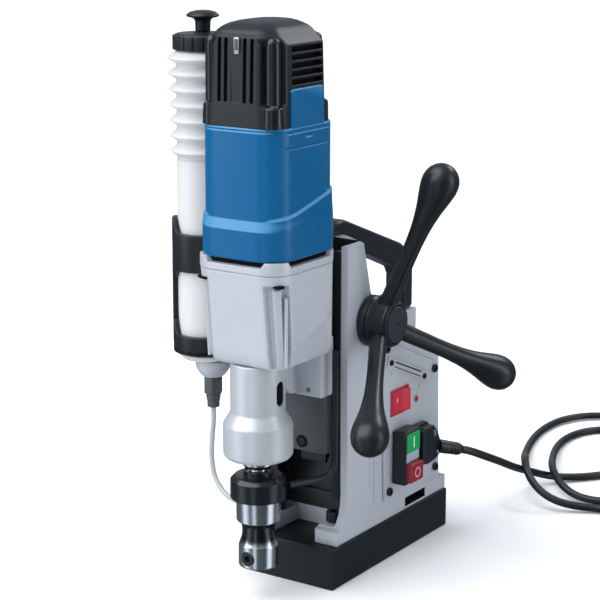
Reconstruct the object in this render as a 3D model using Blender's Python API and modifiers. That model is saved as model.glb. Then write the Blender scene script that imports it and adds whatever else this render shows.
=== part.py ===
"""Magnetic drill press: an electromagnet foot, a cast stand, a motor carriage on a rack and pinion feed,
a tool spindle, a coolant bottle, a control panel and a mains lead.

Numbers are millimetres until mm() turns them into metres. The origin is the centre of the magnet's
underside, X to the right, Y to the back and Z up.
"""

import math

import bmesh
import bpy
from mathutils import Matrix, Vector

# Driving dimensions, in millimetres
GAP = 0.3
MAGNET_SIZE = (80.0, 170.0, 31.0)
WALL = 38.0  # half the stand's width
WALL_INNER = 32.0
COLUMN_FRONT = -63.5
COLUMN_TOP = 254.0
SPINDLE_Y = -122.3
MOTOR_Y = -110.3
LAY_X, LAY_Y = 16.8, -103.8
HUB_Y, HUB_Z = -33.5, 194.6
PINION_TEETH = 16
PINION_PITCH_RADIUS = 12.0
GEARBOX_BOTTOM = 178.0
GEARBOX_TOP = 246.8
MOTOR_BOTTOM = 256.3
MOTOR_TOP = 347.0
BOTTLE_X, BOTTLE_Y = -68.0, -92.0
BELLOWS_BOTTOM, BELLOWS_TOP = 313.5, 391.5
PANEL_FACE = 40.0
LEVER_TILT = 24.5  # degrees that the levers lean outwards
LEVER_LENGTH = 119.0
CORD_RADIUS = 3.2
COIL_X, COIL_Y = 238.0, 215.0
COIL_MID_RADIUS = 38.5
COIL_TURNS_ACROSS, COIL_TURNS_HIGH = 2, 3

# Points of the mains cord, from the strain relief to the coil
CORD_ROUTE = [
    (60.9, 69.7, 71.5), (65, 77, 69), (70, 93, 61), (70, 118, 50), (64, 152, 35), (58, 183, 22.5),
    (59, 208, 12.5), (68, 226, 5.5), (84, 242, 3.7), (102, 265, 3.5), (113, 298, 3.5), (114, 332, 3.5),
    (103, 364, 3.5), (80, 385, 3.5), (52, 387, 3.5), (30, 367, 3.5), (26, 329, 3.8), (37, 290, 5.2),
    (53, 253, 11), (67, 223, 15), (84, 202, 10.5), (105, 192, 4.6), (131, 197, 3.5), (154, 222, 3.5),
    (166, 266, 3.5), (162, 313, 3.5), (143, 359, 3.5), (110, 400, 3.5), (69, 424, 3.5), (27, 424, 4.2),
    (0, 396, 4.2), (-5, 354, 3.6), (3, 311, 3.6), (18, 269, 4.6), (34, 236, 13), (50, 206, 26.5),
    (62, 180, 31.5), (75, 164, 23), (92, 160, 12), (112, 167, 5.5), (134, 180, 3.6), (165, 182, 3.5),
    (213, 173.3, 3.5),
]

PARTS = bpy.data.collections.new("magnetic_drill_press")
CUTTERS = bpy.data.collections.new("cutters")


def clear_scene():
    for old in list(bpy.data.objects):
        bpy.data.objects.remove(old)
    for collection in (PARTS, CUTTERS):
        bpy.context.scene.collection.children.link(collection)


def mm(values):
    return Vector(tuple(values)) * 0.001


def material(name, colour, roughness, metallic=0.0):
    made = bpy.data.materials.new(name)
    made.use_nodes = True
    shader = made.node_tree.nodes["Principled BSDF"]
    shader.inputs["Base Color"].default_value = (*colour, 1.0)
    shader.inputs["Roughness"].default_value = roughness
    shader.inputs["Metallic"].default_value = metallic
    return made


def add(name, mesh, look, place=None):
    """Links a mesh as an object: a part if it has a look, or a cutter if it has none."""
    made = bpy.data.objects.new(name, mesh)
    if place is not None:
        made.matrix_world = place
    if look is None:
        CUTTERS.objects.link(made)
        made.hide_render = True
        made.display_type = "WIRE"
    else:
        PARTS.objects.link(made)
        mesh.materials.append(look)
    return made


def bevel(piece, width, segments=2, angle=35):
    edge = piece.modifiers.new("bevel", "BEVEL")
    edge.width = width * 0.001
    edge.segments = segments
    edge.angle_limit = math.radians(angle)
    return piece


def block(name, low, high, look=None, place=None):
    """A box between two opposite corners."""
    low, high = mm(map(min, zip(low, high))), mm(map(max, zip(low, high)))
    shape = bmesh.new()
    bmesh.ops.create_cube(shape, size=1.0)
    bmesh.ops.scale(shape, vec=high - low, verts=shape.verts)
    mesh = bpy.data.meshes.new(name)
    shape.to_mesh(mesh)
    shape.free()
    centre = Matrix.Translation((low + high) / 2)
    return add(name, mesh, look, centre if place is None else place @ centre)


def facing(axis):
    """The turn that takes local Z to the axis, with local X and Y on the other two axes."""
    if axis == "X":
        return Matrix(((0, 0, 1), (1, 0, 0), (0, 1, 0))).to_4x4()
    if axis == "Y":
        return Matrix(((1, 0, 0), (0, 0, -1), (0, 1, 0))).to_4x4()
    return Matrix.Identity(4)


def prism(name, outlines, start, end, axis="Z", look=None, place=None):
    """An outline, with any holes after it, drawn from start to end along an axis."""
    curve = bpy.data.curves.new(name, "CURVE")
    curve.dimensions = "2D"
    curve.fill_mode = "BOTH"
    curve.extrude = abs(end - start) * 0.0005
    for outline in outlines:
        spline = curve.splines.new("POLY")
        spline.points.add(len(outline) - 1)
        for point, (u, v) in zip(spline.points, outline):
            point.co = (u * 0.001, v * 0.001, 0.0, 1.0)
        spline.use_cyclic_u = True
    middle = (start + end) / 2 * (-1 if axis == "Y" else 1)
    turn = facing(axis) @ Matrix.Translation((0, 0, middle * 0.001))
    return solid_from_curve(name, curve, look, turn if place is None else place @ turn)


def solid_from_curve(name, curve, look, place):
    """A closed mesh object from a curve, with its caps welded on."""
    guide = bpy.data.objects.new(name, curve)
    CUTTERS.objects.link(guide)
    guide.matrix_world = place
    bpy.context.view_layer.update()
    evaluated = guide.evaluated_get(bpy.context.evaluated_depsgraph_get())
    mesh = bpy.data.meshes.new_from_object(evaluated)
    bpy.data.objects.remove(guide)
    shape = bmesh.new()
    shape.from_mesh(mesh)
    bmesh.ops.remove_doubles(shape, verts=shape.verts, dist=0.00001)
    bmesh.ops.recalc_face_normals(shape, faces=shape.faces)
    shape.to_mesh(mesh)
    shape.free()
    mesh.materials.clear()
    return add(name, mesh, look, place)


def turned(name, profile, centre, axis="Z", look=None, steps=32, place=None):
    """A turned piece from radius and height pairs that run down its outer side, top to bottom."""
    mesh = bpy.data.meshes.new(name)
    closed = profile[0] == profile[-1]
    points = profile[:-1] if closed else profile
    edges = [(i, i + 1) for i in range(len(points) - 1)]
    if closed:
        edges.append((len(points) - 1, 0))
    mesh.from_pydata([(r * 0.001, 0.0, h * 0.001) for r, h in points], edges, [])
    turn = Matrix.Translation(mm(centre)) @ facing(axis) if place is None else place
    piece = add(name, mesh, look, turn)
    screw = piece.modifiers.new("turn", "SCREW")
    screw.steps = steps
    screw.render_steps = steps
    screw.use_merge_vertices = True
    screw.merge_threshold = 0.00001
    screw.use_smooth_shade = True
    return piece


def disc(radius, low, high):
    """The profile of a plain cylinder."""
    return [(0, high), (radius, high), (radius, low), (0, low)]


def washer(inner, outer, low, high):
    """The profile of a ring with a square section."""
    return [(outer, high), (outer, low), (inner, low), (inner, high), (outer, high)]


def along(start, end):
    """The place whose local Z runs from start to end."""
    line = mm(end) - mm(start)
    return Matrix.Translation(mm(start)) @ line.to_track_quat("Z", "Y").to_matrix().to_4x4()


def bar(name, start, end, radius, look=None, steps=20, far_radius=None):
    """A round bar, or a cone, between two points."""
    length = (Vector(end) - Vector(start)).length
    far = radius if far_radius is None else far_radius
    profile = [(0, length), (far, length), (radius, 0), (0, 0)]
    return turned(name, profile, start, look=look, steps=steps, place=along(start, end))


def tube(name, points, radius, look, resolution=2):
    """A round wire or hose through the points."""
    curve = bpy.data.curves.new(name, "CURVE")
    curve.dimensions = "3D"
    curve.bevel_depth = radius * 0.001
    curve.bevel_resolution = resolution
    curve.use_fill_caps = True
    spline = curve.splines.new("POLY")
    spline.points.add(len(points) - 1)
    for point, place in zip(spline.points, points):
        point.co = (*mm(place), 1.0)
    return solid_from_curve(name, curve, look, Matrix.Identity(4))


def smooth_points(route, spacing):
    """Evenly spaced points on a smooth curve through the route's points."""
    route = [Vector(point) for point in route]
    ends = [2 * route[0] - route[1], *route, 2 * route[-1] - route[-2]]
    fine = []
    for a, b, c, d in zip(ends, ends[1:], ends[2:], ends[3:]):
        for step in range(20):
            t = step / 20
            fine.append(
                0.5 * (2 * b + (c - a) * t + (2 * a - 5 * b + 4 * c - d) * t**2 + (3 * b - a - 3 * c + d) * t**3)
            )
    fine.append(route[-1])
    total = sum((q - p).length for p, q in zip(fine, fine[1:]))
    count = max(2, round(total / spacing))
    wanted, travelled, points = total / count, 0.0, [fine[0]]
    for p, q in zip(fine, fine[1:]):
        travelled += (q - p).length
        if travelled >= wanted * len(points) - 1e-6:
            points.append(q)
    points[-1] = fine[-1]
    return points


def loft(name, sections, look=None):
    """A solid through rings of points that all have the same count."""
    shape = bmesh.new()
    rings = [[shape.verts.new(mm(point)) for point in section] for section in sections]
    for lower, upper in zip(rings, rings[1:]):
        for i in range(len(lower)):
            j = (i + 1) % len(lower)
            shape.faces.new((lower[i], lower[j], upper[j], upper[i]))
    shape.faces.new(rings[0])
    shape.faces.new(rings[-1])
    bmesh.ops.recalc_face_normals(shape, faces=shape.faces)
    mesh = bpy.data.meshes.new(name)
    shape.to_mesh(mesh)
    shape.free()
    return add(name, mesh, look)


def boolean(piece, other, operation):
    join = piece.modifiers.new(operation.lower(), "BOOLEAN")
    join.object = other
    join.operation = operation
    join.solver = "EXACT"
    return piece


def cut(piece, *cutters):
    for cutter in cutters:
        boolean(piece, cutter, "DIFFERENCE")
    return piece


def unite(piece, *others):
    for other in others:
        boolean(piece, other, "UNION")
    return piece


def arc(centre_u, centre_v, radius, start, end, steps):
    """Points on an arc, with its angles in degrees."""
    turns = [math.radians(start + (end - start) * i / steps) for i in range(steps + 1)]
    return [(centre_u + radius * math.cos(a), centre_v + radius * math.sin(a)) for a in turns]


def rounded(centre_u, centre_v, half_u, half_v, radius, steps=4):
    """A rectangle with round corners."""
    u, v = half_u - radius, half_v - radius
    corners = ((u, v, 0), (-u, v, 90), (-u, -v, 180), (u, -v, 270))
    points = []
    for du, dv, start in corners:
        points += arc(centre_u + du, centre_v + dv, radius, start, start + 90, steps)
    return points


def at_height(outline, height):
    return [(u, v, height) for u, v in outline]


def hexagon(centre_u, centre_v, radius):
    return arc(centre_u, centre_v, radius, 0, 300, 5)


def gear(teeth, module, centre_x, centre_y, phase):
    """A spur gear's outline, with its first tooth pointing at the phase angle in degrees."""
    pitch = teeth * module / 2
    half_tooth = 0.185 * math.pi * module
    levels = ((pitch - 1.2 * module, 0.44), (pitch + 0.9 * module, -0.33))
    points = []
    for tooth in range(teeth):
        middle = math.radians(phase) + 2 * math.pi * tooth / teeth
        rising = [(r, middle - (half_tooth + grow * module) / r) for r, grow in levels]
        falling = [(r, middle + (half_tooth + grow * module) / r) for r, grow in reversed(levels)]
        points += [(centre_x + r * math.cos(a), centre_y + r * math.sin(a)) for r, a in rising + falling]
    return points


PAINT = material("silver_paint", (0.50, 0.53, 0.60), 0.40, 0.35)
STEEL = material("steel", (0.62, 0.62, 0.64), 0.30, 1.0)
DARK_STEEL = material("dark_steel", (0.05, 0.055, 0.06), 0.40, 0.8)
CHROME = material("chrome", (0.78, 0.78, 0.80), 0.12, 1.0)
ALUMINIUM = material("satin_aluminium", (0.72, 0.74, 0.77), 0.32, 1.0)
MAGNET_BLACK = material("magnet_black", (0.012, 0.014, 0.016), 0.45)
BLACK = material("black_plastic", (0.014, 0.016, 0.019), 0.42)
RUBBER = material("black_rubber", (0.010, 0.010, 0.011), 0.55)
BLUE = material("blue_plastic", (0.009, 0.10, 0.30), 0.38)
WHITE = material("white_plastic", (0.80, 0.80, 0.82), 0.50)
GREY = material("grey_plastic", (0.22, 0.24, 0.26), 0.45)
COPPER = material("copper", (0.60, 0.26, 0.12), 0.35, 1.0)
BRONZE = material("bronze", (0.55, 0.36, 0.16), 0.35, 1.0)
GREEN = material("green_button", (0.0, 0.22, 0.06), 0.40)
RED = material("red_button", (0.45, 0.015, 0.03), 0.40)
BOARD = material("circuit_board", (0.02, 0.12, 0.05), 0.60)


def magnet():
    """The electromagnet: a steel block with a winding in a groove that is open underneath."""
    width, depth, height = MAGNET_SIZE
    low, high = (-width / 2, -depth / 2, 0), (width / 2, depth / 2, height)
    housing = bevel(block("magnet_housing", low, high, MAGNET_BLACK), 1.0)
    groove = prism("coil_groove", [rounded(0, 0, 31, 76, 6), rounded(0, 0, 17, 62, 6)], -5, 22)
    holes = [bar("magnet_bolt_hole", (x, y, 23.4), (x, y, 40), r, steps=12) for x, y, r in FOOT_BOLTS]
    cut(housing, groove, *holes)
    outlines = [rounded(0, 0, 30.7, 75.7, 6), rounded(0, 0, 17.3, 62.3, 6)]
    prism("magnet_coil", outlines, 0.4, 21.7, look=COPPER)


FOOT_BOLTS = [(-25.4, -60, 3.6), (25.4, -60, 3.6), (-28, 80.2, 2.4), (28, 80.2, 2.4)]


def stand_profile():
    """The stand's side, below the column's taper: toe, foot, flange, rear wall and sloping roof."""
    toe = [(-76.7 + 14.2 * math.cos(a), 66 - 24 * math.sin(a)) for a in map(math.radians, (0, 18, 36, 54, 72, 90))]
    flange = [(-76.7, 31.3), (85, 31.3), (85, 42.5), (75.2, 42.5), (73.5, 60), (71, 144), (11.7, 170)]
    return [(COLUMN_FRONT, 170), *toe, *flange]


def column_section(height, side_back, middle_back):
    front = COLUMN_FRONT
    ring = [(WALL, front), (WALL, side_back), (10, middle_back), (-10, middle_back), (-WALL, side_back), (-WALL, front)]
    return at_height(ring, height)


def stand():
    casting = prism("stand_casting", [stand_profile()], -WALL, WALL, "X", PAINT)
    column = loft(
        "column",
        [
            column_section(160, 11, 11.2), column_section(170, 11, 11.2), column_section(215, -32, -14),
            column_section(COLUMN_TOP, -42.6, -24.5),
        ],
    )
    lug = block("handle_lug", (-11, 60, 146), (11, 81, 178))
    unite(casting, column, lug)
    channel = block("channel", (-WALL_INNER, -90, 58), (WALL_INNER, -36, 300))
    over_toes = block("over_toes", (-WALL_INNER, -90, 44), (WALL_INNER, -42, 60))
    between_toes = block("between_toes", (-19, -90, 20), (19, -42, 50))
    pinion_room = bar("pinion_room", (-31, HUB_Y, HUB_Z), (31, HUB_Y, HUB_Z), 15.5)
    shaft_bore = bar("shaft_bore", (-50, HUB_Y, HUB_Z), (-25, HUB_Y, HUB_Z), 8.3, steps=22)
    bush_bore = bar("bush_bore", (20, HUB_Y, HUB_Z), (50, HUB_Y, HUB_Z), 11.0, steps=24)
    hollow = [(-30, 50), (69, 50), (67, 140.5), (10.5, 164), (-12, 164), (-30, 146)]
    electronics_room = prism("electronics_room", [hollow], -WALL_INNER, WALL_INNER, "X")
    window = prism("panel_window", [[(-1, 62), (57, 62), (55, 130), (-5, 156)]], 25, 60, "X")
    strap_slot = block("strap_slot", (-60, 22, 33.2), (60, 53, 40.5))
    bolt_holes = [bar("foot_bolt_hole", (x, y, 20), (x, y, 60), r + 0.6, steps=12) for x, y, r in FOOT_BOLTS]
    screw_holes = [bar("panel_screw_hole", (30, y, z), (60, y, z), 1.9, steps=12) for y, z in PANEL_SCREWS]
    cut(casting, channel, over_toes, between_toes, pinion_room, shaft_bore, bush_bore, electronics_room)
    cut(casting, window, strap_slot, *bolt_holes, *screw_holes)


def foot_bolts():
    """Socket-head bolts that hold the stand to the magnet."""
    for i, (x, y, radius) in enumerate(FOOT_BOLTS, 1):
        seat = 44.3 if y < 0 else 42.8
        head_radius, head_height = (radius * 1.75, 8) if y < 0 else (4.2, 6)
        top = seat + head_height
        profile = [(0, top), (head_radius - 0.6, top), (head_radius, top - 0.6), (head_radius, seat)]
        profile += [(radius - 0.3, seat), (radius - 0.3, 24), (0, 24)]
        bolt = turned(f"foot_bolt_{i}", profile, (x, y, 0), look=DARK_STEEL, steps=14)
        cut(bolt, prism("bolt_socket", [hexagon(x, y, head_radius * 0.5)], top - 3.5, top + 3))


def guide_rails():
    """Dovetail rails inside the stand's front channel."""
    for name, side in (("guide_rail_left", -1), ("guide_rail_right", 1)):
        outline = [(24.2, -62.8), (31.7, -62.8), (31.7, -49.0), (28.9, -49.0)]
        prism(name, [[(side * x, y) for x, y in outline]], 62, 250, look=DARK_STEEL)


PANEL_SCREWS = [(-12.7, 168.5), (60.0, 137.0), (63.6, 55.2), (-6.3, 54.2)]
ROCKER_Y, ROCKER_Z = 7.5, 123.5
LED_Y, LED_Z = 33.0, 118.8


def control_panel():
    outline = [(-18, 177), (66, 140.5), (69, 49.8), (-12, 48.5)]
    rocker_hole = rounded(ROCKER_Y, ROCKER_Z, 12.0, 9.6, 1.0, 1)
    led_hole = arc(LED_Y, LED_Z, 2.0, 0, 330, 11)
    screw_holes = [arc(y, z, 1.9, 0, 330, 11) for y, z in PANEL_SCREWS]
    holes = [rocker_hole, led_hole, *screw_holes]
    prism("control_panel", [outline, *holes], WALL + GAP, PANEL_FACE, "X", PAINT)
    for i, (y, z) in enumerate(PANEL_SCREWS, 1):
        profile = [(0, 42.4), (1.8, 42.3), (3.3, 41.4), (3.4, 40.3), (1.6, 40.3), (1.6, 33.0), (0, 33.0)]
        screw = turned(f"panel_screw_{i}", profile, (0, y, z), "X", DARK_STEEL, 14)
        cut(screw, prism("screw_socket", [hexagon(y, z, 1.3)], 41.3, 45, "X"))
    plate = [(-9.5, 162.2), (49.5, 137.3), (46.6, 129.6), (-12.4, 154.5)]
    prism("rating_plate", [plate], 40.3, 41.0, "X", GREY)


def magnet_switch():
    """A rocker that tips about an upright axis, in its bezel, and the lamp beside it."""
    outer = rounded(ROCKER_Y, ROCKER_Z, 13.6, 11.0, 1.6, 2)
    inner = rounded(ROCKER_Y, ROCKER_Z, 11.7, 9.0, 0.6, 1)
    bezel = prism("rocker_bezel", [outer, inner], 40.3, 42.0, "X", BLACK)
    bevel(bezel, 0.5, 1)
    pivot = mm((38.5, ROCKER_Y, ROCKER_Z))
    tilt = Matrix.Translation(pivot) @ Matrix.Rotation(math.radians(-8), 4, "Z")
    outline = [(-3.0, -8.4), (4.6, -10.7), (4.6, -9.6), (3.0, 0.0), (4.6, 9.6), (4.6, 10.7), (-3.0, 8.4)]
    prism("magnet_rocker", [outline], -8.6, 8.6, "Z", RED, place=tilt)
    dome = [(0, 42.0), (0.9, 41.8), (1.5, 41.1), (1.6, 40.3), (1.6, 36.0), (0, 36.0)]
    turned("magnet_led", dome, (0, LED_Y, LED_Z), "X", RED, 14)


BOX_LOW, BOX_HIGH = (40.3, -2.7, 59.5), (52.3, 20.4, 101.8)
START_BUTTON = (-0.9, 18.6, 84.6, 100.2)
STOP_BUTTON = (-0.9, 18.6, 61.2, 76.8)


def motor_switch():
    """The start and stop buttons in their raised box."""
    box = bevel(block("switch_box", BOX_LOW, BOX_HIGH, BLACK), 1.4, 2)
    for name, (y0, y1, z0, z1), face, look in (
        ("start_button", START_BUTTON, 53.0, GREEN),
        ("stop_button", STOP_BUTTON, 56.6, RED),
    ):
        cut(box, block(name + "_well", (42.6, y0, z0), (70, y1, z1)))
        low, high = (46.2, y0 + GAP, z0 + GAP), (face, y1 - GAP, z1 - GAP)
        bevel(block(name, low, high, look), 0.8, 1)


RELIEF_START, RELIEF_END = (49.4, 53.0, 76.7), (60.7, 69.4, 71.6)


def lead_outlet():
    """The mains connector block, its strain relief, the cord, its coil and tie, and the plug."""
    outline = [(24, 69), (24, 96), (28, 99), (43.5, 98.5), (49, 93), (55.5, 81), (55.5, 70.5), (48, 67), (34, 65.5)]
    connector = prism("cord_connector", [outline], 40.3, 51.5, "X", BLACK)
    start, end = Vector(RELIEF_START), Vector(RELIEF_END)
    line = (end - start).normalized()
    cut(connector, bar("relief_socket", start - line * GAP, start + line * 30, 5.8, steps=16))
    length = (end - start).length
    profile = [(0, length), (3.9, length), (5.0, length - 2.6), (5.4, 0), (0, 0)]
    turned("strain_relief", profile, start, look=RUBBER, steps=16, place=along(start, end))
    points = smooth_points(CORD_ROUTE, CORD_RADIUS * 6)
    points.insert(1, points[0] + line * 4)
    tube("mains_cord", points, CORD_RADIUS, RUBBER)
    coil_width = 2 * CORD_RADIUS * COIL_TURNS_ACROSS
    inner, outer = COIL_MID_RADIUS - coil_width / 2, COIL_MID_RADIUS + coil_width / 2
    height = 2 * CORD_RADIUS * COIL_TURNS_HIGH
    coil = turned("cord_coil", washer(inner, outer, 0, height), (COIL_X, COIL_Y, 0), look=RUBBER, steps=28)
    tie_x, tie_z = COIL_X - COIL_MID_RADIUS, height / 2 + 0.8
    cut(coil, block("tie_groove", (tie_x - 20, COIL_Y - 4.3, -5), (tie_x + 20, COIL_Y + 4.3, 1.4)))
    around = rounded(tie_x, tie_z, coil_width / 2 + 1.6, tie_z - 0.1, 2.0, 2)
    inside = rounded(tie_x, tie_z, coil_width / 2 + 0.6, tie_z - 1.1, 0.4, 1)
    prism("cord_tie", [around, inside], COIL_Y - 4, COIL_Y + 4, "Y", BLACK)


def mains_plug():
    """A two-pin plug that lies beside the coil."""
    x, y, z = COIL_X + COIL_MID_RADIUS + CORD_RADIUS, COIL_Y + 26.0, 18.4
    profile = [(0, 62), (15.5, 62), (17.9, 60), (17.9, 44), (13.5, 34), (11.5, 20), (6.0, 16), (4.6, 0), (0, 0)]
    aim = Matrix.Translation(mm((x, y, z))) @ Matrix.Rotation(math.radians(-90), 4, "X")
    plug = turned("mains_plug", profile, (0, 0, 0), look=BLACK, steps=24, place=aim)
    for side in (-9.5, 9.5):
        unite(plug, bar("plug_pin", (x + side, y + 58, z), (x + side, y + 80, z), 2.4, steps=12))


def carry_handle():
    """A hoop from the column's top to the lug on the rear wall."""
    outer = [(-40, 254.4), (-40, 261), (-35.5, 264.6), (-20, 264.3), (62, 233.1), (74, 225.5), (80, 214), (80, 178.3)]
    inner = [(65, 178.3), (65, 206), (60.5, 212.8), (-13, 242.7), (-20.2, 243.6), (-22.8, 254.4)]
    bevel(prism("carry_handle", [outer + inner], -9, 9, "X", BLACK), 3.2, 3, 50)


def control_board():
    board = block("control_board", (-22, -20, 58), (22, 46, 60), BOARD)
    unite(board, block("transformer", (-16, 0, 59), (8, 28, 78)), block("relay", (12, 2, 59), (20, 22, 72)))


def feed():
    """The feed shaft with its pinion, the bush, the hub and three levers."""
    centre = (0, HUB_Y, HUB_Z)
    turned("feed_bush", washer(8.3, 10.7, 32.3, 37.9), centre, "X", BRONZE, 24)
    module = 2 * PINION_PITCH_RADIUS / PINION_TEETH
    teeth = prism("pinion_teeth", [gear(PINION_TEETH, module, HUB_Y, HUB_Z, 180)], -12, 12, "X", STEEL)
    teeth.name = "feed_shaft"
    unite(teeth, bar("shaft", (-37, HUB_Y, HUB_Z), (57, HUB_Y, HUB_Z), 8.0, steps=24))
    hub_profile = [(0, 60.2), (14.0, 60.2), (14.0, 61.6), (17.2, 58.4), (17.2, 45.0), (19.2, 43.4)]
    hub_profile += [(19.2, 38.4), (8.3, 38.4), (8.3, 57.3), (0, 57.3)]
    hub = turned("feed_hub", hub_profile, centre, "X", BLACK, 28)
    turned("hub_cap", [(0, 62.4), (13.0, 62.4), (13.7, 61.8), (13.7, 60.5), (0, 60.5)], centre, "X", GREY, 32)
    lean = math.radians(LEVER_TILT)
    for i in range(3):
        angle = math.radians(90.8 - 120 * i)
        out = Vector((math.sin(lean), math.cos(lean) * math.cos(angle), math.cos(lean) * math.sin(angle)))
        root = Vector((46.8, HUB_Y, HUB_Z))
        place = along(root, root + out)
        seat = 13.2
        cut(hub, turned("lever_socket", disc(6.6, seat - GAP, 40), root, steps=16, place=place))
        length = LEVER_LENGTH + 14 - 6
        profile = [(0, length + 6), (5.5, length + 4.6), (10.0, length + 0.8), (12.8, length - 5), (13.5, length - 12)]
        profile += [(12.6, length - 20), (10.6, length - 30), (8.2, length - 41), (6.7, length - 55)]
        profile += [(6.1, length - 72), (6.2, seat + 12), (6.3, seat), (0, seat)]
        turned(f"feed_lever_{i + 1}", profile, root, look=BLACK, steps=16, place=place)


def carriage():
    """The dovetail slide and its rack, cut to mesh with the pinion."""
    outline = [(-22, -70), (22, -70), (23.4, -62.8), (28.1, -50.5), (-28.1, -50.5), (-23.4, -62.8)]
    prism("slide_carriage", [outline], 98, 238, look=DARK_STEEL)
    pitch = math.pi * 2 * PINION_PITCH_RADIUS / PINION_TEETH
    line_y = HUB_Y - PINION_PITCH_RADIUS
    first = math.ceil((85 - HUB_Z) / pitch - 0.5)
    last = math.floor((235 - HUB_Z) / pitch - 0.5)
    points = [(line_y - 4.7, 84), (line_y - 4.7, 236), (line_y - 1.9, 236)]
    for k in range(last, first - 1, -1):
        middle = HUB_Z + (k + 0.5) * pitch
        for depth, half in ((-1.9, 1.67), (1.3, 0.5)):
            points.append((line_y + depth, middle + half))
        for depth, half in ((1.3, 0.5), (-1.9, 1.67)):
            points.append((line_y + depth, middle - half))
    points.append((line_y - 1.9, 84))
    prism("feed_rack", [points], -11, 11, "X", STEEL)


def gearbox():
    """The gearbox casting with its mounting pad and web, and the cover."""
    body = loft(
        "gearbox_housing",
        [
            at_height(rounded(0, -107.0, 31.5, 31.5, 13, 5), GEARBOX_BOTTOM),
            at_height(rounded(0, -107.0, 34.6, 34.6, 15, 5), GEARBOX_BOTTOM + 3),
            at_height(rounded(0, -107.3, 36.2, 36.4, 16, 5), GEARBOX_BOTTOM + 9),
            at_height(rounded(0, -110.5, 37.4, 40.0, 18, 5), GEARBOX_TOP),
        ],
        PAINT,
    )
    pad = block("gearbox_pad", (-30.5, -86, 146), (30.5, -70.4, 190))
    web = block("gearbox_web", (-9, -106, 147.5), (9, -80, 190))
    unite(body, pad, web)
    room = loft(
        "gearbox_room",
        [
            at_height(rounded(0, -107.3, 32.4, 32.6, 13, 4), GEARBOX_BOTTOM + 7),
            at_height(rounded(0, -110.5, 34.0, 36.6, 15, 4), GEARBOX_TOP + 3),
        ],
    )
    sleeve_room = bar("sleeve_room", (0, SPINDLE_Y, 120), (0, SPINDLE_Y, GEARBOX_BOTTOM - 0.1), 20.1, steps=32)
    spindle_hole = bar("spindle_hole", (0, SPINDLE_Y, 170), (0, SPINDLE_Y, 200), 12.8, steps=24)
    cut(body, room, sleeve_room, spindle_hole)
    for side in (-1, 1):
        low, high = (side * 31.4, -139.2, GEARBOX_BOTTOM - 2), (side * 33.4, -146.2, 240)
        cut(body, bar("corner_recess", low, high, 6.2, steps=16))
        low, high = (side * 28.6, -136.4, GEARBOX_BOTTOM + 3), (side * 30.4, -143.0, 241.5)
        unite(body, bar("corner_post", low, high, 3.4, steps=12))
    cut(body, bar("pad_hole", (18.6, -90, 151), (18.6, -81, 151), 1.7, steps=12))
    outline = rounded(0, -110.5, 37.8, 40.3, 18, 5)
    cover = prism("gearbox_cover", [outline], GEARBOX_TOP + GAP, MOTOR_BOTTOM - GAP, look=PAINT)
    for low, high in (
        ((-22, -160, 252), (22, -147.5, 260)),
        ((-22, -73.5, 252), (22, -60, 260)),
        ((-45, -134, 252), (-34.5, -88, 260)),
        ((34.5, -134, 252), (45, -88, 260)),
    ):
        cut(cover, block("cover_slot", low, high))
    cut(cover, bar("motor_shaft_hole", (0, MOTOR_Y, 240), (0, MOTOR_Y, 265), 5.9, steps=20))


def sleeve_and_spindle():
    """The spindle in its sleeve, driven by the gear train, and the tool holder with its grub screw."""
    centre = (0, SPINDLE_Y, 0)
    sleeve_profile = [
        (19.8, GEARBOX_BOTTOM - GAP), (19.8, 141.5), (25.2, 132.5), (25.2, 110.2), (22.6, 107.2), (19.2, 107.2),
        (19.2, 124), (12.7, 124), (12.7, GEARBOX_BOTTOM - GAP), (19.8, GEARBOX_BOTTOM - GAP),
    ]
    sleeve = turned("spindle_sleeve", sleeve_profile, centre, look=ALUMINIUM, steps=32)
    slot = arc(SPINDLE_Y, 161.5, 4.5, 0, 180, 6) + arc(SPINDLE_Y, 152.1, 4.5, 180, 360, 6)
    cut(sleeve, prism("drift_slot", [slot], -40, 40, "X"))
    turned("spindle_bearing", washer(12.5, 18.9, 109, 122), centre, look=STEEL, steps=24)
    spindle_profile = [
        (0, 224), (7.6, 224), (8.0, 223.4), (8.0, 207.7), (12.2, 207.7), (12.2, 102.2), (9.8, 99.6),
        (6.7, 99.6), (6.7, 146), (0, 146),
    ]
    spindle = turned("spindle", spindle_profile, centre, look=CHROME, steps=24)
    narrow = arc(SPINDLE_Y, 161.5, 3.6, 0, 180, 5) + arc(SPINDLE_Y, 152.1, 3.6, 180, 360, 5)
    cut(spindle, prism("spindle_slot", [narrow], -40, 40, "X"))
    wheel = [gear(30, 1.25, 0, SPINDLE_Y, SPINDLE_GEAR_PHASE), arc(0, SPINDLE_Y, 8.3, 0, 345, 23)]
    prism("spindle_gear", wheel, 208, 221, look=STEEL)
    arbor_profile = [
        (0, 144), (6.3, 144), (6.3, 97.4), (8.8, 96.4), (8.8, 76.2), (16.0, 76.2), (16.0, 60.2), (15.4, 59.6),
        (13.0, 58.0), (12.0, 54.6), (11.9, 50.2), (12.4, 46.2), (13.8, 42.2), (14.5, 40.2), (14.5, 25.8),
        (13.9, 25.2), (9.5, 25.2), (9.5, 56.0), (0, 56.0),
    ]
    arbor = turned("arbor", arbor_profile, centre, look=CHROME, steps=24)
    hole = bar("grub_hole", (0, SPINDLE_Y - 20, 33.0), (0, SPINDLE_Y - 5, 33.0), 5.6, steps=16)
    cut(arbor, hole)
    grub = bar("arbor_grub_screw", (0, SPINDLE_Y - 9.7, 33.0), (0, SPINDLE_Y - 13.9, 33.0), 5.3, DARK_STEEL, 16)
    cut(grub, prism("grub_socket", [hexagon(0, 33.0, 2.9)], SPINDLE_Y - 20, SPINDLE_Y - 11.5, "Y"))


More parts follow.
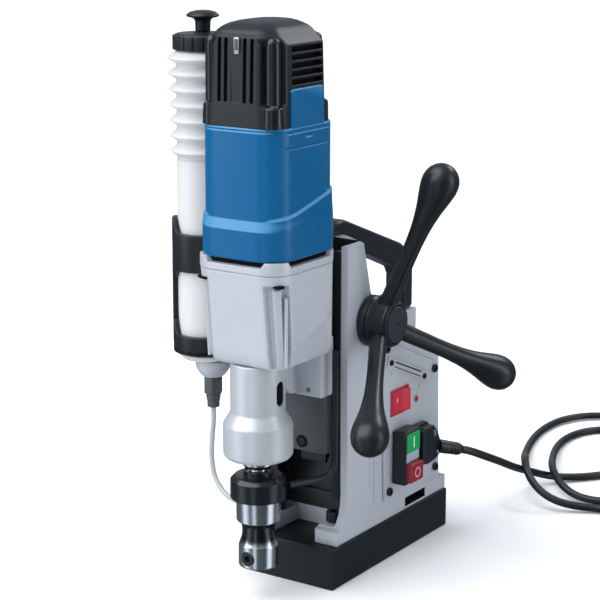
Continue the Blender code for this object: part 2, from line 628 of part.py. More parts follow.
def gear_phases():
    """The layshaft and spindle gear angles that put every pair in mesh."""
    to_lay = math.degrees(math.atan2(LAY_Y - MOTOR_Y, LAY_X))
    motor_phase = to_lay
    lay_big_phase = to_lay + 180 + 180 / 27
    to_spindle = math.degrees(math.atan2(SPINDLE_Y - LAY_Y, -LAY_X))
    lay_small_phase = to_spindle
    spindle_phase = to_spindle + 180 + 180 / 30
    return motor_phase, lay_big_phase, lay_small_phase, spindle_phase


MOTOR_PHASE, LAY_BIG_PHASE, LAY_SMALL_PHASE, SPINDLE_GEAR_PHASE = gear_phases()


def gear_train():
    """The motor pinion turns a layshaft, whose small gear turns the spindle's gear."""
    layshaft = bar("layshaft", (LAY_X, LAY_Y, 186), (LAY_X, LAY_Y, 246), 4.0, STEEL, 16)
    small = prism("lay_small_gear", [gear(10, 1.25, LAY_X, LAY_Y, LAY_SMALL_PHASE)], 206, 223)
    big = prism("lay_big_gear", [gear(27, 1.0, LAY_X, LAY_Y, LAY_BIG_PHASE)], 232, 243)
    unite(layshaft, small, big)
    profile = [
        (0, 396), (4.0, 396), (4.0, 362), (11.0, 362), (11.0, 344), (5.0, 344), (5.0, 334), (18.6, 334),
        (18.6, 270), (5.0, 270), (5.0, 246), (3.2, 246), (3.2, 231), (0, 231),
    ]
    armature = turned("armature", profile, (0, MOTOR_Y, 0), look=COPPER, steps=18)
    unite(armature, prism("motor_pinion", [gear(9, 1.0, 0, MOTOR_Y, MOTOR_PHASE)], 231, 244.5))


def motor():
    turned("stator", washer(19.6, 30.5, 272, 332), (0, MOTOR_Y, 0), look=STEEL, steps=24)
    sections = (
        (37.3, 40.3, -110.8, MOTOR_BOTTOM), (37.3, 40.3, -110.8, 275.8), (35.1, 39.3, -110.2, 284.0),
        (34.8, 39.0, -110.0, MOTOR_TOP),
    )
    housing = loft("motor_housing", [at_height(rounded(0, y, a, b, 18, 6), z) for a, b, y, z in sections], BLUE)
    for side in (-1, 1):
        unite(housing, block("side_tab", (side * 31, -130.5, 330), (side * 34.8, -90, 373)))
    room = [at_height(rounded(0, -110, 31.5, 35.7, 15, 4), z) for z in (261, 349)]
    cut(housing, loft("motor_room", room))
    for side in (-1, 1):
        unite(housing, block("tab_root", (side * 31, -130.5, 330), (side * 34.8, -90, 373)))
    cut(housing, bar("motor_floor_hole", (0, MOTOR_Y, 250), (0, MOTOR_Y, 270), 6.4, steps=20))


def motor_cap():
    """The vented top cap with its four corner pillars."""
    base = MOTOR_TOP + GAP
    sections = ((0, base), (1.8, 403.5), (3.0, 408.5), (5.6, 412.0), (12.0, 416.0), (19.5, 418.3))
    rings = [at_height(rounded(0, -110, 33.3 - inset, 37.8 - inset, 16 - inset * 0.7, 5), z) for inset, z in sections]
    cap = loft("motor_cap", rings, BLACK)
    for x in (-25.6, 25.6):
        for y in (-139.6, -80.4):
            shoulder = [(0, 405), (4.0, 405), (5.8, 401), (5.8, 363), (8.2, 361), (8.2, base), (0, base)]
            unite(cap, turned("cap_pillar", shoulder, (x, y, 0), steps=12))
    room = [at_height(rounded(0, -110, 30.3, 34.8, 13, 4), z) for z in (base - 3, 400)]
    cut(cap, loft("cap_room", room))
    for side in (-1, 1):
        cut(cap, block("tab_room", (side * 30.4, -130.9, 340), (side * 40, -89.6, 373.4)))
        for step in range(5):
            low = 376.0 + 5.4 * step
            cut(cap, block("louvre", (side * 25, -128.5, low), (side * 45, -97, low + 2.9)))
    for x in (-13.6, -8.0, 8.0, 13.6):
        cut(cap, block("vent_slot", (x - 1.6, -160, 363.5), (x + 1.6, -142, 399)))
    cut(cap, block("clip_recess", (-4.2, -160, 363.5), (4.2, -146.9, 402)))


def coolant_ring():
    centre = (0, SPINDLE_Y, 0)
    profile = [
        (10.7, 97.2), (10.7, 94.1), (17.2, 93.6), (20.3, 91.4), (20.3, 77.1), (19.7, 76.5), (9.1, 76.5),
        (9.1, 97.2), (10.7, 97.2),
    ]
    turned("coolant_ring", profile, centre, look=BLACK, steps=32)
    corner = arc(100, -90, 9.5, 180, 270, 4)
    route = [(37.0, -78.0, 181.0), (37.0, -78.2, 106.0)]
    heading = Vector((-18.0, -35.2, 0)).normalized()
    for along_line, drop in corner:
        route.append(tuple(Vector((37.0, -78.4, 0)) + heading * (along_line - 90.5) + Vector((0, 0, 187.0 + drop))))
    route.append((20.4, -112.6, 86.5))
    tube("ring_stay", route, 2.5, BLACK)


def coolant_bottle():
    """The bottle, its bellows, cap and knob, the bracket that holds it, the outlet and the hose."""
    centre = (BOTTLE_X, BOTTLE_Y, 0)
    base = 164.0
    bottle_profile = [
        (0, base + 2), (16.5, base + 2), (18.5, base + 4), (18.5, BELLOWS_BOTTOM - GAP),
        (20.0, BELLOWS_BOTTOM - GAP), (20.0, base + 3), (17.0, base), (0, base),
    ]
    turned("bottle", bottle_profile, centre, look=WHITE, steps=28)
    folds = 7
    outer, inner = [], []
    for i in range(folds):
        top = BELLOWS_TOP - (BELLOWS_TOP - BELLOWS_BOTTOM) * i / folds
        fold = (BELLOWS_TOP - BELLOWS_BOTTOM) / folds
        tip = 26.0 - 0.33 * i
        outer += [(19.6, top), (tip, top - fold * 0.55)]
        inner += [(18.2, top), (tip - 1.4, top - fold * 0.55)]
    outer.append((19.6, BELLOWS_BOTTOM))
    inner.append((18.2, BELLOWS_BOTTOM))
    ring = outer + inner[::-1]
    turned("bottle_bellows", ring + [ring[0]], centre, look=WHITE, steps=20)
    flutes = []
    for i in range(18):
        angle = math.radians(20 * i)
        for radius, turn in ((22.0, -6), (22.0, 6), (21.1, 8), (21.1, 12)):
            a = angle + math.radians(turn)
            flutes.append((BOTTLE_X + radius * math.cos(a), BOTTLE_Y + radius * math.sin(a)))
    prism("bottle_cap", [flutes], BELLOWS_TOP + GAP, 404.2, look=BLACK)
    knob = [(0, 419.6), (6.0, 419.2), (10.4, 417.6), (11.9, 415.8), (11.4, 414.6), (7.0, 413.6), (5.6, 411.6)]
    knob += [(5.2, 404.5), (0, 404.5)]
    turned("pump_knob", knob, centre, look=BLACK, steps=24)
    bracket()
    outlet_centre = (OUTLET_X, BOTTLE_Y, 0)
    outlet = [(0, base - GAP), (13.2, base - GAP), (12.6, 157), (10.2, 151.8), (6.9, 150), (6.9, 137), (4.7, 135.5)]
    outlet += [(4.4, 126.6), (0, 126.6)]
    turned("outlet_fitting", outlet, outlet_centre, look=GREY, steps=18)
    hose_route = [
        (OUTLET_X, -92, 126.3), (-62.2, -92, 114), (-63.6, -92, 101), (-63.8, -92.4, 87), (-60.5, -93.5, 73),
        (-51, -96.5, 63.6), (-39, -100.5, 60.6), (-28, -104.5, 60.8), (-18.5, -107.6, 63.6), (-13.6, -109.4, 68.2),
        (-12.9, -109.6, 71.5), (-12.9, -109.6, 76.0),
    ]
    tube("coolant_hose", smooth_points(hose_route, 5.5), 1.9, GREY)


OUTLET_X = -62.0


def bracket():
    """Two rings round the bottle, joined by a spine and a rib, and an arm to the gearbox."""
    centre = (BOTTLE_X, BOTTLE_Y, 0)
    holder = turned("bottle_bracket", washer(20.4, 24.2, 232, 260), centre, look=BLACK, steps=28)
    lower = turned("lower_clip", washer(20.4, 24.2, 170, 188), centre, steps=28)
    spine = block("bracket_spine", (-46.6, -104, 170), (-42.6, -80, 260))
    arm = block("bracket_arm", (-44, -102, 206), (-38.0, -84, 244))
    left = Vector((BOTTLE_X, BOTTLE_Y, 0)) + Vector((-0.83, -0.56, 0)) * 22.2
    turn = Matrix.Translation(mm(left)) @ Matrix.Rotation(math.atan2(-0.56, -0.83), 4, "Z")
    rib = block("bracket_rib", (-1.7, -3.4, 180), (1.9, 3.4, 240), place=turn)
    ear = block("bracket_ear", (-1.7, -4.6, 256), (1.9, 4.6, 270), place=turn)
    unite(holder, lower, spine, arm, rib, ear)


def build():
    clear_scene()
    magnet()
    stand()
    foot_bolts()
    guide_rails()
    control_panel()
    magnet_switch()
    motor_switch()
    lead_outlet()
    mains_plug()
    carry_handle()
    control_board()
    feed()
    carriage()
    gearbox()
    sleeve_and_spindle()
    gear_train()
    motor()
    motor_cap()
    coolant_ring()
    coolant_bottle()


build()
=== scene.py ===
"""Magnetic drill press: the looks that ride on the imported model.

Lengths are millimetres until mm() turns them into metres. The origin is the centre of the magnet's
underside, X to the right, Y to the back and Z up.
"""

import math
from collections import namedtuple

import bmesh
import bpy
from mathutils import Matrix, Vector


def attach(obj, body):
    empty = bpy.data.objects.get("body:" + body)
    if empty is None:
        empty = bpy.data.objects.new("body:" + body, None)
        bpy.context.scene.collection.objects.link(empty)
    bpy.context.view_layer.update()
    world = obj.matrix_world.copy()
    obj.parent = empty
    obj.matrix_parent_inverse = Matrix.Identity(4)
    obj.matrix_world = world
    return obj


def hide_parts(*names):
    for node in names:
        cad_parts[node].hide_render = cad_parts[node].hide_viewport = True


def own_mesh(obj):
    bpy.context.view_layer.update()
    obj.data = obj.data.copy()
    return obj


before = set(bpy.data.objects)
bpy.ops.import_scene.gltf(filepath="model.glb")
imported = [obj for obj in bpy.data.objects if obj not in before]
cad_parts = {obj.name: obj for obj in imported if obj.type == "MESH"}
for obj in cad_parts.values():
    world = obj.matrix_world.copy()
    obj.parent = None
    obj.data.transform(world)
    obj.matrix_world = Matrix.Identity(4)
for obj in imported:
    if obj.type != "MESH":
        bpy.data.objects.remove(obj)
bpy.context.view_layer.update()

# Camera
CAMERA_AZIMUTH = 33.79
CAMERA_ELEVATION = 13.35
CAMERA_ROLL = 0.07
CAMERA_SHIFT = (-38.2, 192.8, 1414.7)  # right, up and back from the origin
CAMERA_LENS = 108.0

# Light
SUN_STRENGTH = 3.3
SUN_FROM = (-0.42, -0.70, 1.05)
ROOM_STRENGTH = 1.1
ROOM_TINT = (0.87, 0.96, 1.06)
# Area lights: name, place, target, width and height, power
STRIPS = (
    ("right_strip", (1.60, 0.30, 0.60), (0, 0, 0.25), (0.16, 1.2), 4.0),
    ("left_strip", (-1.03, -1.22, 0.65), (0, -0.1, 0.30), (0.14, 1.2), 2.2),
    ("back_strip", (0.35, 1.2, 1.25), (0, -0.1, 0.35), (0.7, 0.3), 5.0),
)
FILL = ("right_fill", (1.10, 0.75, 0.55), (0.04, 0.03, 0.10), (0.5, 0.8), 1.5)
# Tall soft strips round the room: turn from -X as a part of the circle, and brightness
ROOM_STRIPS = (
    (0.0, 0.08), (0.085, 0.12), (0.125, 1.00), (0.165, 1.00), (0.210, 0.14), (0.255, 0.16), (0.272, 0.80),
    (0.297, 0.80), (0.318, 0.06), (0.475, 0.03), (0.505, 1.00), (0.555, 1.00), (0.590, 0.08), (0.660, 0.14),
    (0.740, 0.05), (0.850, 0.40), (0.900, 0.06), (1.0, 0.08),
)
# Where the strips show, by height from straight down to straight up
STRIP_HEIGHTS = ((0.0, 0.0), (0.2, 1.0), (0.66, 1.0), (0.80, 0.0), (1.0, 0.0))
# The even part of the room's light: height from straight down to straight up, and brightness
ROOM_LEVELS = ((0.0, 0.08), (0.50, 0.03), (0.62, 0.08), (0.75, 0.32), (1.0, 0.50))

# Driving dimensions
SPINDLE = (0.0, -122.3, 0.0)
GRUB_Z = 33.0
NECK_LOW, NECK_HIGH = 42.0, 60.3
# Painted shade inside the casting, over the slideway and the strap slot: opposite corners
PAINTED_SHADE_BOXES = (((-32.1, -90, 44.4), (32.1, -35.9, 300)), ((-37.8, 21.9, 33), (37.8, 53.1, 40.7)))
# The foot's bolts: y, distance from the middle, head radius, foot and height of the head
FOOT_BOLTS = ((-60, 25.4, 6.3, 44.2, 8), (80.2, 28, 4.2, 42.7, 6))
MOTOR_Y = -110.0
HUB = (0.0, -33.5, 194.6)
BOTTLE = (-68.0, -92.0, 0.0)
OUTLET_X = -62.0
# The direction in which the bottle's clips rise highest, in degrees
CLIP_TURN = 212
BELLOWS_BOTTOM, BELLOWS_TOP = 313.5, 391.5
# The rocker's middle and turn, and the lamp's place on the panel
ROCKER = (38.5, 7.5, 123.5)
ROCKER_TURN = -8.0
LAMP = (0, 33.0, 118.8)
LEVER_TILT = 24.5
LEVER_LENGTH = 119.0
CORD_RADIUS = 3.2
COIL = (238.0, 215.0)
COIL_TURNS = ((41.6, 3.4), (35.4, 3.4), (35.4, 9.8), (41.6, 9.8), (35.4, 15.8), (41.6, 15.8))
COIL_START = -78.0
COIL_ENTRY = (231.0, 172.6, 3.4)

# The two ends of the strain relief
RELIEF = (49.4, 53.0, 76.7), (60.7, 69.4, 71.6)

# Points of the mains cord, from the strain relief to the coil
CORD_ROUTE = [
    (60.9, 69.7, 71.5), (65, 77, 69), (70, 93, 61), (70, 118, 50), (64, 152, 35), (58, 183, 22.5),
    (59, 208, 12.5), (68, 226, 5.5), (84, 242, 3.7), (102, 265, 3.5), (113, 298, 3.5), (114, 332, 3.5),
    (103, 364, 3.5), (80, 385, 3.5), (52, 387, 3.5), (30, 367, 3.5), (26, 329, 3.8), (37, 290, 5.2),
    (53, 253, 11), (67, 223, 15), (84, 202, 10.5), (105, 192, 4.6), (131, 197, 3.5), (154, 222, 3.5),
    (166, 266, 3.5), (162, 313, 3.5), (143, 359, 3.5), (110, 400, 3.5), (69, 423.6, 3.5), (27, 423.6, 4.2),
    (0, 396, 4.2), (-5, 354, 3.6), (3, 311, 3.6), (18, 269, 4.6), (34, 236, 13), (50, 206, 26.5),
    (62, 180, 31.5), (75, 164, 23), (92, 160, 12), (112, 167, 5.5), (134, 180, 3.6), (165, 182, 3.5),
    (213, 173.3, 3.5),
]


def mm(values):
    return Vector(tuple(values)) * 0.001


def ease(low, high, value):
    """0 below low, 1 above high, and smooth between them."""
    t = min(1.0, max(0.0, (value - low) / (high - low)))
    return t * t * (3 - 2 * t)


def groove(distance, half_width):
    """1 on a line, falling to 0 at half a width from it."""
    return 1 - ease(half_width * 0.4, half_width, abs(distance))


def between(table, value):
    """A value read from pairs of position and value, along straight lines."""
    for (a, low), (b, high) in zip(table, table[1:]):
        if value <= b:
            t = max(0.0, (value - a) / (b - a))
            return low + (high - low) * t
    return table[-1][1]


# Materials


LOOKS = {}


def feed(tree, made, inputs):
    """Sets a node's inputs to values, or links them from other nodes' outputs."""
    for key, value in inputs.items():
        if isinstance(value, bpy.types.NodeSocket):
            tree.links.new(value, made.inputs[key])
        else:
            made.inputs[key].default_value = value


def node(tree, kind, inputs=None, **settings):
    """A shader node with its settings and inputs."""
    made = tree.nodes.new(f"ShaderNode{kind}")
    for key, value in settings.items():
        setattr(made, key, value)
    feed(tree, made, inputs or {})
    return made


def mixed(tree, factor, first, second, blend="MIX"):
    """Two colours, or colour outputs of other nodes, mixed by a factor."""
    first, second = ((*colour, 1.0) if isinstance(colour, tuple) else colour for colour in (first, second))
    made = node(tree, "Mix", {0: factor, 6: first, 7: second}, data_type="RGBA", blend_type=blend)
    return made.outputs[2]


def ramp(tree, source, levels):
    """A brightness read from pairs of position and level."""
    made = node(tree, "ValToRGB", {0: source})
    stops = made.color_ramp.elements
    for stop, (position, level) in zip(stops, (levels[0], levels[-1])):
        stop.position = position
        stop.color = (level, level, level, 1)
    for position, level in levels[1:-1]:
        stops.new(position).color = (level, level, level, 1)
    return made.outputs[0]


def surface(
    name, colour, roughness, metallic=0.0, grain=0.6, bump=0.1, mottle=0.06, edge=0.7, edge_highlight=None,
    highlight_amount=0.5,
    stretch=(1, 1, 1), coat=0.0, specular=0.5,
):
    """A material with fine grain, soft colour and gloss changes, rounded edges and highlights painted on its
    edges.

    grain and edge are the grain's size and the edges' radius in millimetres, mottle is how far the colour
    wanders, and the argument after edge is a lighter colour painted on the edges as a highlight.
    """
    made = bpy.data.materials.new(name)
    made.use_nodes = True
    tree = made.node_tree
    place = node(tree, "TexCoord").outputs["Object"]
    scaled = node(tree, "Mapping", {"Vector": place, "Scale": stretch}).outputs[0]
    broad = node(tree, "TexNoise", {"Vector": scaled, "Scale": 28.0, "Detail": 3.0}).outputs[0]
    fine = node(tree, "TexNoise", {"Vector": scaled, "Scale": 1000.0 / grain, "Detail": 2.0}).outputs[0]
    dark, light = (tuple(min(1.0, c * (1 + change)) for c in colour) for change in (-mottle, mottle))
    tone = mixed(tree, broad, dark, light)
    gloss = node(tree, "MapRange", {"Value": broad, "To Min": roughness * 0.82, "To Max": roughness * 1.2})
    rounding = node(tree, "Bevel", {"Radius": edge * 0.001}, samples=4).outputs[0]
    relief = node(tree, "Bump", {"Strength": bump, "Distance": 0.0004, "Height": fine, "Normal": rounding})
    # A lighter colour mixed in where the rounded edges turn: a painted highlight on the edges.
    if edge_highlight is not None:
        flat = node(tree, "NewGeometry").outputs["Normal"]
        alike = node(tree, "VectorMath", {0: rounding, 1: flat}, operation="DOT_PRODUCT").outputs["Value"]
        limits = {"From Min": 0.985, "From Max": 0.80, "To Max": highlight_amount}
        edge_lit = node(tree, "MapRange", {"Value": alike, **limits}).outputs[0]
        tone = mixed(tree, edge_lit, tone, edge_highlight)
    inputs = {
        "Base Color": tone, "Roughness": gloss.outputs[0], "Normal": relief.outputs[0], "Metallic": metallic,
        "Coat Weight": coat, "Coat Roughness": 0.12, "Specular IOR Level": specular,
    }
    feed(tree, tree.nodes["Principled BSDF"], inputs)
    return made


def see_through(made, transmission):
    made.node_tree.nodes["Principled BSDF"].inputs["Transmission Weight"].default_value = transmission
    return made


def make_materials():
    # The lighter edge colours below are painted highlights on the edges.
    dark_edge, black_edge = (0.06, 0.07, 0.08), (0.04, 0.048, 0.056)
    silver, bright_edge = (0.435, 0.465, 0.515), (0.66, 0.70, 0.76)
    LOOKS.update({
        "paint": surface("cast_paint", silver, 0.36, 0.12, 0.9, 0.10, 0.03, 0.9, bright_edge, 0.4),
        "casting": surface("casting_paint", silver, 0.36, 0.12, 0.9, 0.10, 0.03, 0.9, bright_edge, 0.4),
        "cover_paint": surface(
            "cover_paint", silver, 0.30, 0.15, 0.9, 0.06, 0.03, 0.9, bright_edge, 0.3, coat=0.15
        ),
        "dark_cast": surface("dark_cast", (0.075, 0.080, 0.088), 0.42, 0.2, 0.9, 0.12, 0.08, 0.7),
        "magnet": surface(
            "blackened_steel", (0.007, 0.011, 0.014), 0.38, 0.0, 1.2, 0.08, 0.2, 0.9, black_edge, 0.6,
            specular=0.25
        ),
        "steel": surface("machined_steel", (0.50, 0.50, 0.52), 0.28, 1.0, 0.4, 0.12, 0.05, 0.4),
        "dark_steel": surface("oiled_steel", (0.018, 0.021, 0.026), 0.33, 0.5, 0.6, 0.10, 0.12, 0.5),
        "chrome": surface(
            "ground_chrome", (0.66, 0.69, 0.73), 0.17, 1.0, 0.5, 0.05, 0.03, 0.4, stretch=(1, 1, 25)
        ),
        "holder": surface(
            "holder_chrome", (0.66, 0.69, 0.73), 0.17, 1.0, 0.5, 0.05, 0.03, 0.4, stretch=(1, 1, 25)
        ),
        "aluminium": surface(
            "satin_aluminium", (0.50, 0.53, 0.57), 0.34, 0.35, 0.45, 0.07, 0.02, 0.7, (0.72, 0.74, 0.78),
            0.5, stretch=(1, 1, 25),
        ),
        "plastic": surface(
            "black_plastic", (0.008, 0.0105, 0.0135), 0.36, 0.0, 0.5, 0.10, 0.12, 0.7, black_edge, 0.5,
            specular=0.4
        ),
        "collar": surface(
            "collar_plastic", (0.006, 0.008, 0.010), 0.22, 0.0, 0.8, 0.03, 0.1, 0.6, specular=0.5
        ),
        "cap_plastic": surface(
            "cap_plastic", (0.011, 0.0145, 0.018), 0.36, 0.0, 0.45, 0.14, 0.10, 0.8, dark_edge, 0.6,
            specular=0.33
        ),
        "grip": surface(
            "lever_plastic", (0.006, 0.0085, 0.011), 0.33, 0.0, 0.7, 0.05, 0.10, 0.5, specular=0.45
        ),
        "rubber": surface(
            "cord_rubber", (0.006, 0.0075, 0.009), 0.38, 0.0, 0.5, 0.10, 0.15, 0.3, specular=0.5
        ),
        "blue": surface(
            "blue_plastic", (0.0004, 0.092, 0.235), 0.28, 0.0, 0.5, 0.05, 0.03, 0.8, (0.05, 0.26, 0.52), 0.3,
            specular=0.24,
        ),
        "white": surface("milky_plastic", (0.60, 0.60, 0.60), 0.40, 0.0, 1.5, 0.05, 0.02, 0.5),
        "hose": see_through(
            surface("clear_hose", (0.50, 0.53, 0.55), 0.18, 0.0, 2.0, 0.04, 0.04, 0.2), 0.25
        ),
        "grey": surface("grey_plastic", (0.24, 0.25, 0.28), 0.38, 0.0, 0.6, 0.10, 0.06, 0.6),
        "hex_grey": surface("hex_grey", (0.070, 0.078, 0.088), 0.36, 0.2, 0.6, 0.10, 0.06, 0.6),
        "cap_grey": surface(
            "hub_cap_grey", (0.018, 0.023, 0.029), 0.42, 0.0, 0.5, 0.12, 0.08, 0.4, specular=0.4
        ),
        "green": surface(
            "green_plastic", (0.002, 0.30, 0.080), 0.34, 0.0, 0.6, 0.05, 0.05, 0.8, specular=0.3
        ),
        "red": surface(
            "red_plastic", (0.50, 0.012, 0.040), 0.30, 0.0, 0.6, 0.05, 0.06, 0.8, (0.6, 0.10, 0.14), 0.4
        ),
        "stop_red": surface(
            "stop_red", (0.24, 0.008, 0.024), 0.30, 0.0, 0.6, 0.05, 0.06, 0.9, (0.45, 0.08, 0.11), 0.4
        ),
        "lamp": surface("red_lamp", (0.42, 0.02, 0.02), 0.15, 0.0, 0.6, 0.03, 0.05, 0.2, coat=0.5),
        "label": surface("grey_label", (0.34, 0.37, 0.42), 0.45, 0.0, 0.6, 0.05, 0.04, 0.3),
        "mark": surface("pale_mark", (0.62, 0.66, 0.66), 0.50, 0.0, 0.6, 0.03, 0.03, 0.1),
        "pink_mark": surface("pink_mark", (0.60, 0.34, 0.36), 0.50, 0.0, 0.6, 0.03, 0.03, 0.1),
        "lime": surface("lime_mark", (0.30, 0.42, 0.12), 0.50, 0.0, 0.6, 0.03, 0.05, 0.1),
        "void": surface("dark_gap", (0.003, 0.003, 0.004), 0.60, 0.0, 0.6, 0.05, 0.10, 0.2, specular=0.1),
        "copper": surface("copper_winding", (0.60, 0.26, 0.12), 0.35, 1.0, 0.8, 0.20, 0.10, 0.3),
        "bronze": surface("sintered_bronze", (0.55, 0.36, 0.16), 0.40, 1.0, 0.6, 0.15, 0.10, 0.3),
        "board": surface("circuit_board", (0.02, 0.12, 0.05), 0.50, 0.0, 0.8, 0.10, 0.15, 0.3),
    })
    # Painted shade: the casting darkened inside these boxes, where the slideway and the strap slot lie in
    # shade.
    for low, high in PAINTED_SHADE_BOXES:
        recoloured(LOOKS["casting"], (0.016, 0.018, 0.021), lambda tree: inside(tree, low, high))
    # Painted highlight: the blue paler on upward slopes, such as the flare round the motor's foot.
    recoloured(LOOKS["blue"], (0.10, 0.32, 0.56), upward_highlight)
    # Painted shade: the tool holder darker round its recessed waist.
    recoloured(LOOKS["holder"], (0.075, 0.072, 0.078), waist)


def inside(tree, low, high):
    """1 between two opposite corners and 0 outside, in an object's coordinates."""
    place = node(tree, "SeparateXYZ", {0: node(tree, "TexCoord").outputs["Object"]}).outputs
    found = 1.0
    for axis, start, end in zip("XYZ", low, high):
        for operation, limit in (("GREATER_THAN", start), ("LESS_THAN", end)):
            test = node(tree, "Math", {0: place[axis], 1: limit * 0.001}, operation=operation)
            found = node(tree, "Math", {0: found, 1: test.outputs[0]}, operation="MULTIPLY").outputs[0]
    return found


def recoloured(made, colour, share_of):
    """The material with another colour mixed in, by the share that share_of makes in its node tree."""
    tree = made.node_tree
    socket = tree.nodes["Principled BSDF"].inputs["Base Color"]
    tone = socket.links[0].from_socket
    tree.links.new(mixed(tree, share_of(tree), tone, colour), socket)
    return made


def upward_highlight(tree):
    """A share of painted highlight that grows where the surface slopes upwards."""
    normal = node(tree, "SeparateXYZ", {0: node(tree, "NewGeometry").outputs["Normal"]})
    limits = {"From Min": 0.10, "From Max": 0.28, "To Max": 0.65}
    return node(tree, "MapRange", {"Value": normal.outputs["Z"], **limits}).outputs[0]


def waist(tree):
    """1 round the tool holder's waist and 0 above and below it: where its painted shade goes."""
    place = node(tree, "SeparateXYZ", {0: node(tree, "TexCoord").outputs["Object"]})
    limits = {"From Min": NECK_LOW * 0.001, "From Max": NECK_HIGH * 0.001}
    height = node(tree, "MapRange", {"Value": place.outputs["Z"], **limits}).outputs[0]
    return ramp(tree, height, ((0.0, 0.0), (0.22, 1.0), (0.94, 1.0), (1.0, 0.0)))


# Shapes


def add(name, mesh, place=None):
    made = bpy.data.objects.new(name, mesh)
    bpy.context.scene.collection.objects.link(made)
    if place is not None:
        made.matrix_world = place
    return made


def smooth(piece, angle=32):
    """Smooth shading with creases where faces turn by more than the angle."""
    mesh = piece.data
    mesh.shade_smooth()
    mesh.set_sharp_from_angle(angle=math.radians(angle))
    return piece


def settle(piece, *used):
    """Turns the piece's modifiers into plain mesh and removes what they used."""
    bpy.context.view_layer.update()
    evaluated = piece.evaluated_get(bpy.context.evaluated_depsgraph_get())
    mesh = bpy.data.meshes.new_from_object(evaluated)
    piece.modifiers.clear()
    piece.data = mesh
    for other in used:
        bpy.data.objects.remove(other)
    return piece


def merge(name, pieces):
    """One object that holds several meshes in world coordinates."""
    bpy.context.view_layer.update()
    shape = bmesh.new()
    for piece in pieces:
        copied = piece.data.copy()
        copied.transform(piece.matrix_world)
        shape.from_mesh(copied)
        bpy.data.meshes.remove(copied)
        bpy.data.objects.remove(piece)
    mesh = bpy.data.meshes.new(name)
    shape.to_mesh(mesh)
    shape.free()
    return add(name, mesh)


def cut(piece, cutters):
    """Takes the cutters out of the piece. Cutters don't overlap each other."""
    tool = merge("cutter", cutters)
    change = piece.modifiers.new("cut", "BOOLEAN")
    change.object = tool
    change.operation = "DIFFERENCE"
    change.solver = "EXACT"
    return settle(piece, tool)


def bevel(piece, width, segments=3, angle=35):
    edge = piece.modifiers.new("bevel", "BEVEL")
    edge.width = width * 0.001
    edge.segments = segments
    edge.angle_limit = math.radians(angle)
    return settle(piece)


def from_bmesh(name, shape, place=None):
    bmesh.ops.recalc_face_normals(shape, faces=shape.faces)
    mesh = bpy.data.meshes.new(name)
    shape.to_mesh(mesh)
    shape.free()
    return add(name, mesh, place)


def block(name, low, high, rounding=0.0, segments=3, place=None):
    """A box between two opposite corners, with round edges."""
    low, high = mm(map(min, zip(low, high))), mm(map(max, zip(low, high)))
    shape = bmesh.new()
    bmesh.ops.create_cube(shape, size=1.0)
    bmesh.ops.scale(shape, vec=high - low, verts=shape.verts)
    if rounding:
        bmesh.ops.bevel(
            shape, geom=shape.edges[
                :
            ], offset=rounding * 0.001, segments=segments, profile=0.5, affect="EDGES"
        )
    centre = Matrix.Translation((low + high) / 2)
    return from_bmesh(name, shape, centre if place is None else place @ centre)


def facing(axis):
    """The turn that takes local Z to the axis, with local X and Y on the other two axes."""
    if axis == "X":
        return Matrix(((0, 0, 1), (1, 0, 0), (0, 1, 0))).to_4x4()
    if axis == "Y":
        return Matrix(((1, 0, 0), (0, 0, -1), (0, 1, 0))).to_4x4()
    return Matrix.Identity(4)


def prism(name, outline, start, end, axis="Z", rounding=0.0, segments=3, place=None):
    """An outline drawn from start to end along an axis, with round edges."""
    shape = bmesh.new()
    sign = -1 if axis == "Y" else 1
    base = [shape.verts.new((u * 0.001, v * 0.001, sign * start * 0.001)) for u, v in outline]
    face = shape.faces.new(base)
    extruded = bmesh.ops.extrude_face_region(shape, geom=[face])
    moved = [item for item in extruded["geom"] if isinstance(item, bmesh.types.BMVert)]
    bmesh.ops.translate(shape, vec=(0, 0, sign * (end - start) * 0.001), verts=moved)
    bmesh.ops.recalc_face_normals(shape, faces=shape.faces)
    if rounding:
        rim = [edge for edge in shape.edges if edge.calc_face_angle(0) > math.radians(40)]
        bmesh.ops.bevel(
            shape, geom=rim, offset=rounding * 0.001, segments=segments, profile=0.5, affect="EDGES",
            clamp_overlap=True,
        )
    turn = facing(axis)
    return from_bmesh(name, shape, turn if place is None else place @ turn)


def turned(name, profile, centre=(0, 0, 0), axis="Z", steps=96, place=None):
    """A turned piece from radius and height pairs. Points on the axis close its ends."""
    shape = bmesh.new()
    turns = [2 * math.pi * i / steps for i in range(steps)]
    rings = []
    for radius, height in profile:
        spots = [(0, 0, height)]
        if radius > 1e-6:
            spots = [(radius * math.cos(a), radius * math.sin(a), height) for a in turns]
        rings.append([shape.verts.new(mm(spot)) for spot in spots])
    for above, below in zip(rings, rings[1:]):
        for i in range(steps):
            j = (i + 1) % steps
            corners = [(above, i), (above, j), (below, j), (below, i)]
            unique = list(dict.fromkeys(ring[k % len(ring)] for ring, k in corners))
            if len(unique) > 2:
                shape.faces.new(unique)
    if place is None:
        place = Matrix.Translation(mm(centre)) @ facing(axis)
    return smooth(from_bmesh(name, shape, place))


def closed(profile):
    return [*profile, profile[0]]


def filleted(profile, radius, steps=4):
    """The profile with each inner corner rounded. Its ends stay as they are."""
    points = [Vector(point) for point in profile]
    made = [profile[0]]
    for before, corner, after in zip(points, points[1:], points[2:]):
        back, ahead = before - corner, after - corner
        if back.length < 1e-6 or ahead.length < 1e-6:
            continue
        reach = min(radius, back.length * 0.45, ahead.length * 0.45)
        start, end = corner + back.normalized() * reach, corner + ahead.normalized() * reach
        for i in range(steps + 1):
            t = i / steps
            spot = start * (1 - t) ** 2 + corner * 2 * t * (1 - t) + end * t**2
            made.append((max(0.0, spot.x), spot.y))
    made.append(profile[-1])
    return made


